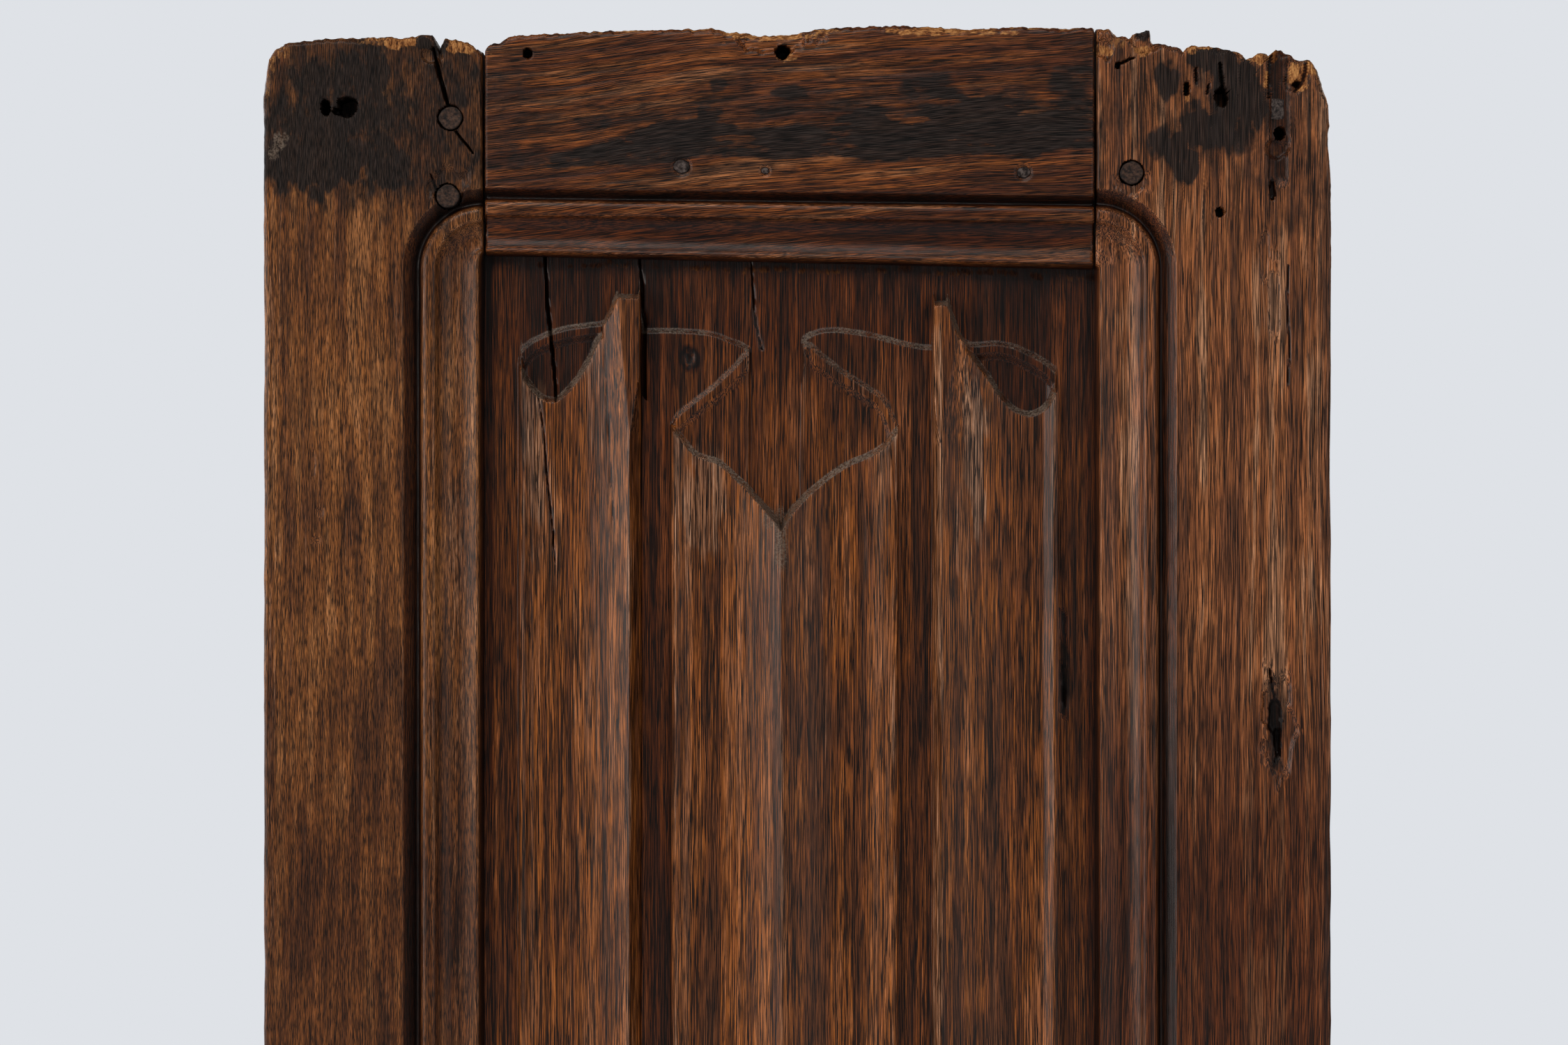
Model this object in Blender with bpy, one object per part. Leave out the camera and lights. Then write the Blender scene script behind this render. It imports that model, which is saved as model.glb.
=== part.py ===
"""Carved oak panel: a joined frame of two stiles and two rails around one linenfold board.

Units are metres and +Z is up. The carved front faces -Y, and the flat back of the frame is the plane y = 0.
The origin is on that back, in the middle of the top rail, where the panel is held to a wall.
The top of the frame is broken and worn. The bottom repeats the top's joints and carving, undamaged.
"""

import math

import bmesh
import bpy
from mathutils import Matrix

MM = 0.001

# Frame. The opening is measured between the stiles' inner edges and between the two corner lines, which
# are the levels that the rounded corners of the moulding turn about.
FRAME_THICKNESS = 26 * MM
LEFT_STILE_WIDTH = 84.2 * MM
RIGHT_STILE_WIDTH = 90.3 * MM
OPENING_WIDTH = 236.4 * MM
OPENING_HEIGHT = 455 * MM
RAIL_HEIGHT = 92.5 * MM
RAIL_SLANT = 5.4 * MM
RAIL_EDGE_ABOVE_CORNER = 5.6 * MM
SHOULDER_GAP = 1.0 * MM
FIT_GAP = 0.3 * MM
WORN_ARRIS = 1.6 * MM

# Moulding along the opening: distances outward from the opening's edge, and depths below the frame's face.
ARRIS_OUT = 1.9 * MM
ARRIS_DEPTH = 3.6 * MM
HOLLOW_OUT = 10.2 * MM
HOLLOW_DEPTH = 5.2 * MM
BEAD_INNER_OUT = 18.4 * MM
BEAD_OUTER_OUT = 23.2 * MM
BEAD_DEPTH = 1.0 * MM
QUIRK_OUT = 25.2 * MM
QUIRK_DEPTH = 4.4 * MM
BEVEL_OUT = 30.4 * MM
CORNER_STEPS = 12
HOLLOW_STEPS = 6
CUT_PAST = 4 * MM
PIVOT_PAST_EDGE = 0.5 * MM

# Mortise and tenon joints.
TENON_THICKNESS = 8 * MM
TENON_LENGTH = 55 * MM
TENON_HAUNCH = 24 * MM
TENON_ABOVE_GROOVE = 3 * MM
TENON_ROOT = 3 * MM
MORTISE_END_GAP = 1 * MM
PEG_DIAMETER = 9 * MM
PEG_SIDES = 12

# Linenfold board and the groove that holds it.
BOARD_FRONT_DEPTH = 11.5 * MM
BOARD_THICKNESS = 10.5 * MM
TONGUE_THICKNESS = 5.7 * MM
TONGUE_LENGTH = 8 * MM
BEVEL_START = 6 * MM
BEVEL_END = 22 * MM
GROOVE_DEPTH = 10 * MM
CREST_HEIGHT = 9 * MM
CREST_CURVE = 1.6
BACK_CLOTH_HEIGHT = 1.2 * MM
TURNED_CLOTH_HEIGHT = 2.1 * MM
HOLLOW_CLOTH_HEIGHT = 3.1 * MM
RIM_HEIGHT = 4.2 * MM
FOLD_STEPS = 9
ROOT_DEPTH = 3 * MM

# Nails, nail holes and the plug.
NAIL_DIAMETER = 3.8 * MM
NAIL_LENGTH = 12 * MM
PLUG_WIDTH = 5.9 * MM
PLUG_HEIGHT = 8.6 * MM
PLUG_DEPTH = 8 * MM
BLIND_HOLE_DEPTH = 15 * MM
KNOT_DEPTH = 4 * MM
HOLE_SIDES = 16

# Places read by eye in the photograph, as pixels from the opening's left edge line and from the upper
# corner line, rightwards and down. The opening's width in those pixels sets their scale.
OPENING_PIXELS = 882
LEFT_EDGE_PIXEL = 692
CORNER_PIXEL = 385

LEFT_OUTER_HEM = [(742, 520), (752, 499), (775, 484), (812, 472), (862, 466), (925, 476), (985, 477),
                  (1035, 486), (1077, 504)]
RIGHT_OUTER_HEM = [(1152, 490), (1175, 477), (1215, 476), (1280, 490), (1335, 499), (1400, 496), (1450, 497),
                   (1490, 513), (1519, 540)]
LEFT_TURNED_HEM = [(1070, 509), (1050, 532), (1010, 567), (978, 593), (966, 618)]
RIGHT_TURNED_HEM = [(1157, 496), (1190, 522), (1235, 552), (1268, 577), (1282, 604)]
CLOTH_EDGE_LEFT = 1074
CLOTH_EDGE_RIGHT = 1153
LEFT_FOLD_HEM = [(744, 536), (753, 550), (768, 567), (790, 577), (815, 560), (846, 513), (866, 464),
                 (884, 428)]
CENTRE_FOLD_LEFT_HEM = [(961, 612), (980, 636), (1003, 657), (1035, 670), (1068, 700), (1098, 733),
                        (1122, 763)]
CENTRE_FOLD_RIGHT_HEM = [(1122, 763), (1150, 724), (1180, 696), (1222, 667), (1262, 648), (1292, 619)]
RIGHT_FOLD_HEM = [(1362, 440), (1376, 484), (1404, 524), (1440, 573), (1478, 596), (1508, 582), (1519, 552)]
LEFT_LAND = [(887, 431), (916, 430), (915, 545), (903, 620), (895, 520)]
RIGHT_LAND = [(1342, 444), (1361, 444), (1374, 490), (1361, 570), (1346, 632)]

# Each fold: its rim, the lowest line of its hollow, and its crest, as pixels across.
LEFT_FOLD = (746, 795, 902)
LEFT_FOLD_WALL = 917.5
CENTRE_FOLD_LEFT = (964, 1030, 1122)
CENTRE_FOLD_RIGHT = (1289, 1205, 1122)
RIGHT_FOLD = (1516, 1470, 1351)
RIGHT_FOLD_WALL = 1340

# Broken tops: share of the piece's width from its left end, and the depth lost below the top line.
LEFT_STILE_BREAK = [(0, 32 * MM), (0.01, 17 * MM), (0.045, 8.6 * MM), (0.11, 5.9 * MM), (0.25, 4.3 * MM),
                    (0.51, 3.5 * MM), (0.59, 3.2 * MM), (0.74, 2.7 * MM), (0.8, 9 * MM), (0.825, 4.1 * MM),
                    (0.93, 5.4 * MM), (1, 9.4 * MM)]
RIGHT_STILE_BREAK = [(0, 0), (0.05, 0.4 * MM), (0.09, 3 * MM), (0.15, 4 * MM), (0.22, 0.4 * MM),
                     (0.25, 5.6 * MM), (0.34, 7 * MM), (0.37, 9.1 * MM), (0.4, 6.5 * MM), (0.54, 8.3 * MM),
                     (0.63, 11.8 * MM), (0.72, 9.1 * MM), (0.735, 11 * MM), (0.745, 7.5 * MM),
                     (0.84, 11.5 * MM), (0.915, 12.3 * MM), (0.95, 18 * MM), (0.98, 29 * MM), (1, 41 * MM)]
RAIL_BREAK = [(0, 8.6 * MM), (0.03, 5.6 * MM), (0.1, 2.4 * MM), (0.3, 0.6 * MM), (0.38, 0.1 * MM),
              (0.46, 3 * MM), (0.53, 1.6 * MM), (0.57, 0), (0.76, 0), (1, 0.4 * MM)]

# Holes and pegs in the photograph's pixels, with the width and depth of each hole.
THROUGH = FRAME_THICKNESS + CUT_PAST
PEGS = {"left_upper": (646, 169), "left_lower": (642, 281), "right": (1624, 248)}
LEFT_STILE_HOLES = [(467, 153, 4.6 * MM, THROUGH), (498, 153, 7.2 * MM, THROUGH)]
RIGHT_STILE_HOLES = [(1753, 139, 5.2 * MM, THROUGH), (1837, 190, 3.6 * MM, BLIND_HOLE_DEPTH),
                     (1751, 305, 3.5 * MM, BLIND_HOLE_DEPTH)]
RAIL_HOLES = [(757, 76, 3.5 * MM, BLIND_HOLE_DEPTH), (1123, 74, 5.4 * MM, THROUGH)]
RAIL_NAILS = {"left": (978, 239), "middle": (1098, 245), "right": (1469, 247)}
PLUG_PLACE = (1834, 156)
KNOT_HOLE = [(1826, 985), (1836, 1006), (1843, 1030), (1840, 1060), (1834, 1092), (1827, 1052), (1818, 1040),
             (1824, 1016)]

# Levels and lines that follow from the sizes above.
PIXEL = OPENING_WIDTH / OPENING_PIXELS
OVERALL_WIDTH = LEFT_STILE_WIDTH + OPENING_WIDTH + RIGHT_STILE_WIDTH
LEFT_SIDE = -OVERALL_WIDTH / 2
LEFT_EDGE = LEFT_SIDE + LEFT_STILE_WIDTH
RIGHT_EDGE = LEFT_EDGE + OPENING_WIDTH
RIGHT_SIDE = RIGHT_EDGE + RIGHT_STILE_WIDTH
TOP_LINE = RAIL_HEIGHT / 2
TOP_CORNER = -RAIL_HEIGHT / 2
BOTTOM_CORNER = TOP_CORNER - OPENING_HEIGHT
BOTTOM_LINE = BOTTOM_CORNER - RAIL_HEIGHT
MIDDLE = (TOP_CORNER + BOTTOM_CORNER) / 2
FACE = -FRAME_THICKNESS
BOARD_FRONT = FACE + BOARD_FRONT_DEPTH
BOARD_BACK = BOARD_FRONT + BOARD_THICKNESS
TONGUE_BACK = BOARD_FRONT + TONGUE_THICKNESS
GROOVE_END = RAIL_EDGE_ABOVE_CORNER + GROOVE_DEPTH
GROOVE_FRONT = BOARD_FRONT - FIT_GAP
GROOVE_BACK = TONGUE_BACK + FIT_GAP
TENON_FRONT = (GROOVE_FRONT + GROOVE_BACK - TENON_THICKNESS) / 2
TENON_BACK = TENON_FRONT + TENON_THICKNESS

parts = bpy.data.collections.new("carved_oak_panel")
cutters = bpy.data.collections.new("cutters")


def clear_scene():
    for item in list(bpy.data.objects):
        bpy.data.objects.remove(item)
    for collection in (parts, cutters):
        bpy.context.scene.collection.children.link(collection)


def add_mesh(name, mesh, collection):
    piece = bpy.data.objects.new(name, mesh)
    collection.objects.link(piece)
    if collection is cutters:
        piece.hide_render = True
        piece.display_type = "WIRE"
    return piece


def clean(mesh):
    """Welds the seams of a mesh and turns all its faces outward."""
    work = bmesh.new()
    work.from_mesh(mesh)
    bmesh.ops.remove_doubles(work, verts=work.verts, dist=1e-6)
    bmesh.ops.dissolve_degenerate(work, edges=work.edges, dist=1e-7)
    bmesh.ops.recalc_face_normals(work, faces=work.faces)
    work.to_mesh(mesh)
    work.free()


AXES = {
    "X": Matrix(((0, 0, 1, 0), (1, 0, 0, 0), (0, 1, 0, 0), (0, 0, 0, 1))),
    "Y": Matrix(((1, 0, 0, 0), (0, 0, -1, 0), (0, 1, 0, 0), (0, 0, 0, 1))),
    "Z": Matrix.Identity(4),
}


def prism(name, outline, axis, start, end, collection=None):
    """A flat outline, drawn in the plane across the axis, carried along it from start to end."""
    curve = bpy.data.curves.new(name, "CURVE")
    curve.dimensions = "2D"
    curve.fill_mode = "BOTH"
    curve.extrude = abs(end - start) / 2
    spline = curve.splines.new("POLY")
    spline.points.add(len(outline) - 1)
    for point, (u, v) in zip(spline.points, outline):
        point.co = (u, v, 0, 1)
    spline.use_cyclic_u = True
    guide = bpy.data.objects.new(name + "_outline", curve)
    guide.matrix_world = AXES[axis]
    middle = (start + end) / 2
    guide.location = {"X": (middle, 0, 0), "Y": (0, middle, 0), "Z": (0, 0, middle)}[axis]
    bpy.context.scene.collection.objects.link(guide)
    graph = bpy.context.evaluated_depsgraph_get()
    mesh = bpy.data.meshes.new_from_object(guide.evaluated_get(graph))
    mesh.name = name
    mesh.transform(guide.matrix_world)
    bpy.data.objects.remove(guide)
    clean(mesh)
    return add_mesh(name, mesh, cutters if collection is None else collection)


def box(name, low, high, collection=None):
    """A box between two corners."""
    work = bmesh.new()
    size = [b - a for a, b in zip(low, high)]
    middle = [(a + b) / 2 for a, b in zip(low, high)]
    bmesh.ops.create_cube(work, size=1, matrix=Matrix.Translation(middle) @ Matrix.Diagonal((*size, 1)))
    mesh = bpy.data.meshes.new(name)
    work.to_mesh(mesh)
    work.free()
    return add_mesh(name, mesh, cutters if collection is None else collection)


def cylinder(name, x, z, diameter, front, back, sides, collection=None):
    """A round bar along Y between two depths."""
    work = bmesh.new()
    turn = Matrix.Translation((x, (front + back) / 2, z)) @ Matrix.Rotation(math.pi / 2, 4, "X")
    bmesh.ops.create_cone(work, cap_ends=True, segments=sides, radius1=diameter / 2, radius2=diameter / 2,
                          depth=back - front, matrix=turn)
    mesh = bpy.data.meshes.new(name)
    work.to_mesh(mesh)
    work.free()
    clean(mesh)
    return add_mesh(name, mesh, cutters if collection is None else collection)


def boolean(piece, other, operation="DIFFERENCE"):
    step = piece.modifiers.new(other.name, "BOOLEAN")
    step.operation = operation
    step.object = other
    step.solver = "EXACT"


def settle(piece):
    """Applies the Boolean modifiers, so that a long chain of cuts is worked out once."""
    graph = bpy.context.evaluated_depsgraph_get()
    mesh = bpy.data.meshes.new_from_object(piece.evaluated_get(graph))
    piece.modifiers.clear()
    piece.data = mesh
    clean(mesh)


def place(pixel):
    """The x and z of a place in the photograph."""
    right, down = pixel
    return LEFT_EDGE + (right - LEFT_EDGE_PIXEL) * PIXEL, TOP_CORNER - (down - CORNER_PIXEL) * PIXEL


def across(pixel):
    return place((pixel, 0))[0]


def smooth(points, steps=3):
    """A curve through the points, in cubic stretches whose slope at a point follows the neighbours."""
    ends = [points[0]] + list(points) + [points[-1]]
    line = []
    for before, start, end, after in zip(ends, ends[1:], ends[2:], ends[3:]):
        for step in range(steps):
            t = step / steps
            line.append(tuple(
                b + ((c - a) * t + (2 * a - 5 * b + 4 * c - d) * t**2 + (3 * b - a - 3 * c + d) * t**3) / 2
                for a, b, c, d in zip(before, start, end, after)))
    return line + [points[-1]]


def both_ends(line):
    """Closes a line across the top of the board with its mirror image at the bottom."""
    top = [place(pixel) for pixel in line]
    return top + [(x, 2 * MIDDLE - z) for x, z in reversed(top)]


def mirrored(points):
    return [(x, 2 * MIDDLE - z) for x, z in points]


def moulding_line(arris_out=ARRIS_OUT):
    """The moulding from the opening outward, as pairs of distance out and depth below the face.

    The hollow is a half wave laid on the slope from its low inner arris up to the bead.
    """
    lowest = (HOLLOW_OUT - ARRIS_OUT) / (BEAD_INNER_OUT - ARRIS_OUT)
    power = math.log(0.5) / math.log(lowest)
    line = []
    for step in range(HOLLOW_STEPS + 1):
        t = step / HOLLOW_STEPS
        slope = ARRIS_DEPTH + (BEAD_DEPTH - ARRIS_DEPTH) * t**3
        wave = (HOLLOW_DEPTH - ARRIS_DEPTH) * math.sin(math.pi * t**power)
        line.append((arris_out + (BEAD_INNER_OUT - arris_out) * t, slope + wave))
    return line + [(BEAD_OUTER_OUT, BEAD_DEPTH), (QUIRK_OUT, QUIRK_DEPTH), (BEVEL_OUT, 0)]


def moulding_cutter(name, edge, side):
    """All that lies in front of a stile's moulding. The section turns a quarter about each corner."""
    wall_slope = (BOARD_FRONT_DEPTH - FIT_GAP - ARRIS_DEPTH) / ARRIS_OUT
    wall_foot = BOARD_FRONT_DEPTH - FIT_GAP + PIVOT_PAST_EDGE * wall_slope
    bevel_run = (BEVEL_OUT - QUIRK_OUT) / QUIRK_DEPTH
    section = [(-PIVOT_PAST_EDGE, -CUT_PAST), (-PIVOT_PAST_EDGE, wall_foot)] + moulding_line()[:-1]
    section.append((BEVEL_OUT + CUT_PAST * bevel_run, -CUT_PAST))
    pivot = edge - side * PIVOT_PAST_EDGE
    top = TOP_CORNER - PIVOT_PAST_EDGE
    bottom = BOTTOM_CORNER + PIVOT_PAST_EDGE
    work = bmesh.new()
    ring = [work.verts.new((pivot, FACE + depth, top + out + PIVOT_PAST_EDGE)) for out, depth in section]
    edges = [work.edges.new((a, b)) for a, b in zip(ring, ring[1:] + ring[:1])]
    first = work.faces.new(ring)
    turn = {"axis": (0, 1, 0), "angle": side * math.pi / 2, "steps": CORNER_STEPS}
    turned = bmesh.ops.spin(work, geom=ring + edges, cent=(pivot, 0, top), **turn)["geom_last"]
    turned_edges = [e for e in turned if isinstance(e, bmesh.types.BMEdge)]
    run = bmesh.ops.extrude_edge_only(work, edges=turned_edges)["geom"]
    run_verts = [v for v in run if isinstance(v, bmesh.types.BMVert)]
    bmesh.ops.translate(work, verts=run_verts, vec=(0, 0, bottom - top))
    run_edges = [e for e in run if isinstance(e, bmesh.types.BMEdge)]
    run_edges = [e for e in run_edges if all(v in run_verts for v in e.verts)]
    last = bmesh.ops.spin(work, geom=run_verts + run_edges, cent=(pivot, 0, bottom), **turn)["geom_last"]
    last_edges = [e for e in last if isinstance(e, bmesh.types.BMEdge)]
    bmesh.ops.contextual_create(work, geom=last_edges)
    if not first.is_valid:
        raise ValueError("the first section of the moulding was lost")
    mesh = bpy.data.meshes.new(name)
    work.to_mesh(mesh)
    work.free()
    clean(mesh)
    return add_mesh(name, mesh, cutters)


def stile(name, side, inner_edge, outer_side, broken_top, hole_list):
    """One upright: its broken outline, moulding, mortises, groove and nail holes."""
    left = min(inner_edge, outer_side)
    width = abs(outer_side - inner_edge)
    top = [(left + share * width, TOP_LINE - lost) for share, lost in broken_top]
    outline = [(left, BOTTOM_LINE)] + top + [(left + width, BOTTOM_LINE)]
    piece = prism(name, outline, "Y", FACE, 0, parts)
    boolean(piece, moulding_cutter(name + "_moulding", inner_edge, side))
    into = inner_edge + side * (TENON_LENGTH + MORTISE_END_GAP)
    past = inner_edge - side * CUT_PAST
    for end, (low, high) in {"top": tenon_levels(), "bottom": mirrored_levels(tenon_levels())}.items():
        boolean(piece, box(f"{name}_{end}_mortise",
                           (min(into, past), TENON_FRONT - FIT_GAP, low - FIT_GAP),
                           (max(into, past), TENON_BACK + FIT_GAP, high + FIT_GAP)))
    groove_bottom = inner_edge + side * GROOVE_DEPTH
    reach = tenon_levels()[0] + TENON_ABOVE_GROOVE
    boolean(piece, box(name + "_groove", (min(groove_bottom, past), GROOVE_FRONT, 2 * MIDDLE - reach),
                       (max(groove_bottom, past), GROOVE_BACK, reach)))
    corner = [(outer_side + side * WORN_ARRIS, FACE - WORN_ARRIS),
              (outer_side - side * 2 * WORN_ARRIS, FACE - WORN_ARRIS),
              (outer_side + side * WORN_ARRIS, FACE + 2 * WORN_ARRIS)]
    boolean(piece, prism(name + "_worn_arris", corner, "Z", BOTTOM_LINE - CUT_PAST, TOP_LINE + CUT_PAST))
    drill(piece, hole_list)
    return piece


def drill(piece, hole_list):
    """Sinks each hole of a list from the face to its depth."""
    for number, (px, py, diameter, depth) in enumerate(hole_list):
        x, z = place((px, py))
        boolean(piece, cylinder(f"{piece.name}_hole_{number}", x, z, diameter, FACE - CUT_PAST, FACE + depth,
                                HOLE_SIDES))


def tenon_levels():
    """The lowest and highest level of the top rail's tenons."""
    return TOP_CORNER + GROOVE_END + TENON_ABOVE_GROOVE, TOP_LINE - TENON_HAUNCH


def mirrored_levels(levels):
    return 2 * MIDDLE - levels[1], 2 * MIDDLE - levels[0]


def rail(name, end):
    """One rail, end 1 at the top or -1 at the bottom: a moulded section with a tenon at each end."""
    foot = TOP_CORNER + RAIL_EDGE_ABOVE_CORNER
    moulding = moulding_line(RAIL_EDGE_ABOVE_CORNER + ARRIS_OUT)
    line = [(FACE + depth, TOP_CORNER + out) for out, depth in moulding]
    section = [(0, foot), (FACE + BOARD_FRONT_DEPTH, foot)] + line + [(FACE, TOP_LINE), (0, TOP_LINE)]
    if end < 0:
        section = [(y, 2 * MIDDLE - z) for y, z in section]
    piece = prism(name, section, "X", LEFT_EDGE + SHOULDER_GAP, RIGHT_EDGE - SHOULDER_GAP, parts)
    if end > 0:
        slant(piece.data, foot)
    low, high = tenon_levels() if end > 0 else mirrored_levels(tenon_levels())
    for side, shoulder in (("left", LEFT_EDGE), ("right", RIGHT_EDGE)):
        away = -1 if side == "left" else 1
        tip = shoulder + away * TENON_LENGTH
        root = shoulder - away * (SHOULDER_GAP + TENON_ROOT)
        boolean(piece, box(f"{name}_{side}_tenon", (min(tip, root), TENON_FRONT, low),
                           (max(tip, root), TENON_BACK, high)), "UNION")
    groove = [foot - CUT_PAST - RAIL_SLANT, TOP_CORNER + GROOVE_END]
    if end < 0:
        groove = [2 * MIDDLE - level for level in reversed(groove)]
    boolean(piece, box(name + "_groove", (LEFT_EDGE, GROOVE_FRONT, groove[0]),
                       (RIGHT_EDGE, GROOVE_BACK, groove[1])))
    return piece


def slant(mesh, foot):
    """Lets the top rail's lower edge and moulding run down towards the right, the edge twice as much."""
    moulding_top = TOP_CORNER + BEVEL_OUT
    for vertex in mesh.vertices:
        share = min(1, max(0, (moulding_top - vertex.co.z) / (moulding_top - foot)))
        if vertex.co.x > 0 and vertex.co.z <= moulding_top + FIT_GAP:
            vertex.co.z -= RAIL_SLANT * (0.5 + 0.5 * share)


def fold_height(u, lowest):
    """Height of a fold: it falls in a hollow from the crest at u = 0, then lifts to its rim at u = 1."""
    if u < lowest:
        return HOLLOW_CLOTH_HEIGHT + (CREST_HEIGHT - HOLLOW_CLOTH_HEIGHT) * (1 - u / lowest) ** CREST_CURVE
    return HOLLOW_CLOTH_HEIGHT + (RIM_HEIGHT - HOLLOW_CLOTH_HEIGHT) * ((u - lowest) / (1 - lowest)) ** 2


def fold_section(rim, hollow, crest):
    """The front of one fold from its crest to its rim, as places across and in depth."""
    lowest = (hollow - crest) / (rim - crest)
    line = []
    for step in range(FOLD_STEPS + 1):
        u = step / FOLD_STEPS
        line.append((across(crest + (rim - crest) * u), BOARD_FRONT - fold_height(u, lowest)))
    return line


def fold(name, front, hem):
    """One fold: its section carried the length of the board, kept only inside its hem lines."""
    root = BOARD_FRONT + ROOT_DEPTH
    section = [(front[0][0], root)] + front + [(front[-1][0], root)]
    piece = prism(name, section, "Z", BOTTOM_CORNER, TOP_CORNER)
    keep = prism(name + "_hem", both_ends(hem), "Y", BOARD_FRONT - 2 * CREST_HEIGHT, root + CUT_PAST)
    boolean(piece, keep, "INTERSECT")
    settle(piece)
    return piece


def layer(name, outline, height):
    """A flat layer of cloth, rooted in the board."""
    return prism(name, outline, "Y", BOARD_FRONT - height, BOARD_FRONT + ROOT_DEPTH)


def board():
    """The flat board: a slab as thin as its tongue, with a thicker back whose sides slope in to the middle.

    Its thin edge is wider at the top and bottom, where it reaches past the slanting edge of the rail.
    """
    half = OPENING_WIDTH / 2 + TONGUE_LENGTH
    centre = (LEFT_EDGE + RIGHT_EDGE) / 2
    top = TOP_CORNER + GROOVE_END - (GROOVE_DEPTH - TONGUE_LENGTH)
    piece = box("linenfold_panel", (centre - half, BOARD_FRONT, 2 * MIDDLE - top),
                (centre + half, TONGUE_BACK, top), parts)
    run = (BEVEL_END - TONGUE_LENGTH) / (BOARD_BACK - TONGUE_BACK)
    sunk = (TONGUE_LENGTH - BEVEL_START) / run
    end = BEVEL_START + RAIL_SLANT
    field = box("board_back", (centre - half + BEVEL_START, TONGUE_BACK - sunk, 2 * MIDDLE - top + end),
                (centre + half - BEVEL_START, BOARD_BACK, top - end))
    for vertex in field.data.vertices:
        if vertex.co.y > TONGUE_BACK:
            vertex.co.x -= math.copysign(BEVEL_END - BEVEL_START, vertex.co.x - centre)
            vertex.co.z -= math.copysign(BEVEL_END - BEVEL_START, vertex.co.z - MIDDLE)
    boolean(piece, field, "UNION")
    return piece


def linenfold_panel():
    """The board with its carved cloth: back cloth, turned cloth and three standing folds."""
    piece = board()
    notch = [(CLOTH_EDGE_LEFT, 760), (CLOTH_EDGE_RIGHT, 760)]
    outer = smooth(LEFT_OUTER_HEM) + notch + smooth(RIGHT_OUTER_HEM)
    boolean(piece, layer("back_cloth", both_ends(outer), BACK_CLOTH_HEIGHT), "UNION")
    turned = {
        "turned_left": smooth(LEFT_TURNED_HEM) + [(975, 660), (CLOTH_EDGE_LEFT - 2, 740)],
        "turned_right": smooth(RIGHT_TURNED_HEM) + [(1270, 680), (CLOTH_EDGE_RIGHT + 2, 745)],
    }
    for name, line in turned.items():
        top = [place(pixel) for pixel in line]
        for end, outline in (("top", top), ("bottom", mirrored(top))):
            boolean(piece, layer(f"{name}_{end}", outline, TURNED_CLOTH_HEIGHT), "UNION")
    wall = HOLLOW_CLOTH_HEIGHT
    left = [(across(LEFT_FOLD_WALL), BOARD_FRONT - wall)] + fold_section(*LEFT_FOLD)
    centre = fold_section(*CENTRE_FOLD_RIGHT)[::-1] + fold_section(*CENTRE_FOLD_LEFT)[1:]
    right = [(across(RIGHT_FOLD_WALL), BOARD_FRONT - wall)] + fold_section(*RIGHT_FOLD)
    hems = {
        "left_fold": (left, smooth(LEFT_FOLD_HEM) + [(LEFT_FOLD_WALL + 1, 427)]),
        "centre_fold": (centre, smooth(CENTRE_FOLD_LEFT_HEM) + smooth(CENTRE_FOLD_RIGHT_HEM)[1:]),
        "right_fold": (right, [(RIGHT_FOLD_WALL - 1, 440)] + smooth(RIGHT_FOLD_HEM)),
    }
    for name, (section, hem) in hems.items():
        boolean(piece, fold(name, section, hem), "UNION")
    for name, land in (("left_land", LEFT_LAND), ("right_land", RIGHT_LAND)):
        top = [place(pixel) for pixel in land]
        for end, outline in (("top", top), ("bottom", mirrored(top))):
            boolean(piece, layer(f"{name}_{end}", outline, CREST_HEIGHT), "UNION")
    settle(piece)
    return piece


def peg_places():
    """Every peg's name and centre: two on the left and one on the right, at the top and the bottom."""
    places = {}
    for end in ("top", "bottom"):
        for where, pixel in PEGS.items():
            x, z = place(pixel)
            places[f"peg_{end}_{where}"] = (x, z if end == "top" else 2 * MIDDLE - z)
    return places


def material(piece, colour, roughness, metallic=0.0):
    """One Principled material for one piece."""
    finish = bpy.data.materials.new(piece.name + "_finish")
    finish.use_nodes = True
    shader = finish.node_tree.nodes["Principled BSDF"]
    shader.inputs["Base Color"].default_value = (*colour, 1)
    shader.inputs["Roughness"].default_value = roughness
    shader.inputs["Metallic"].default_value = metallic
    piece.data.materials.clear()
    piece.data.materials.append(finish)


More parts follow.
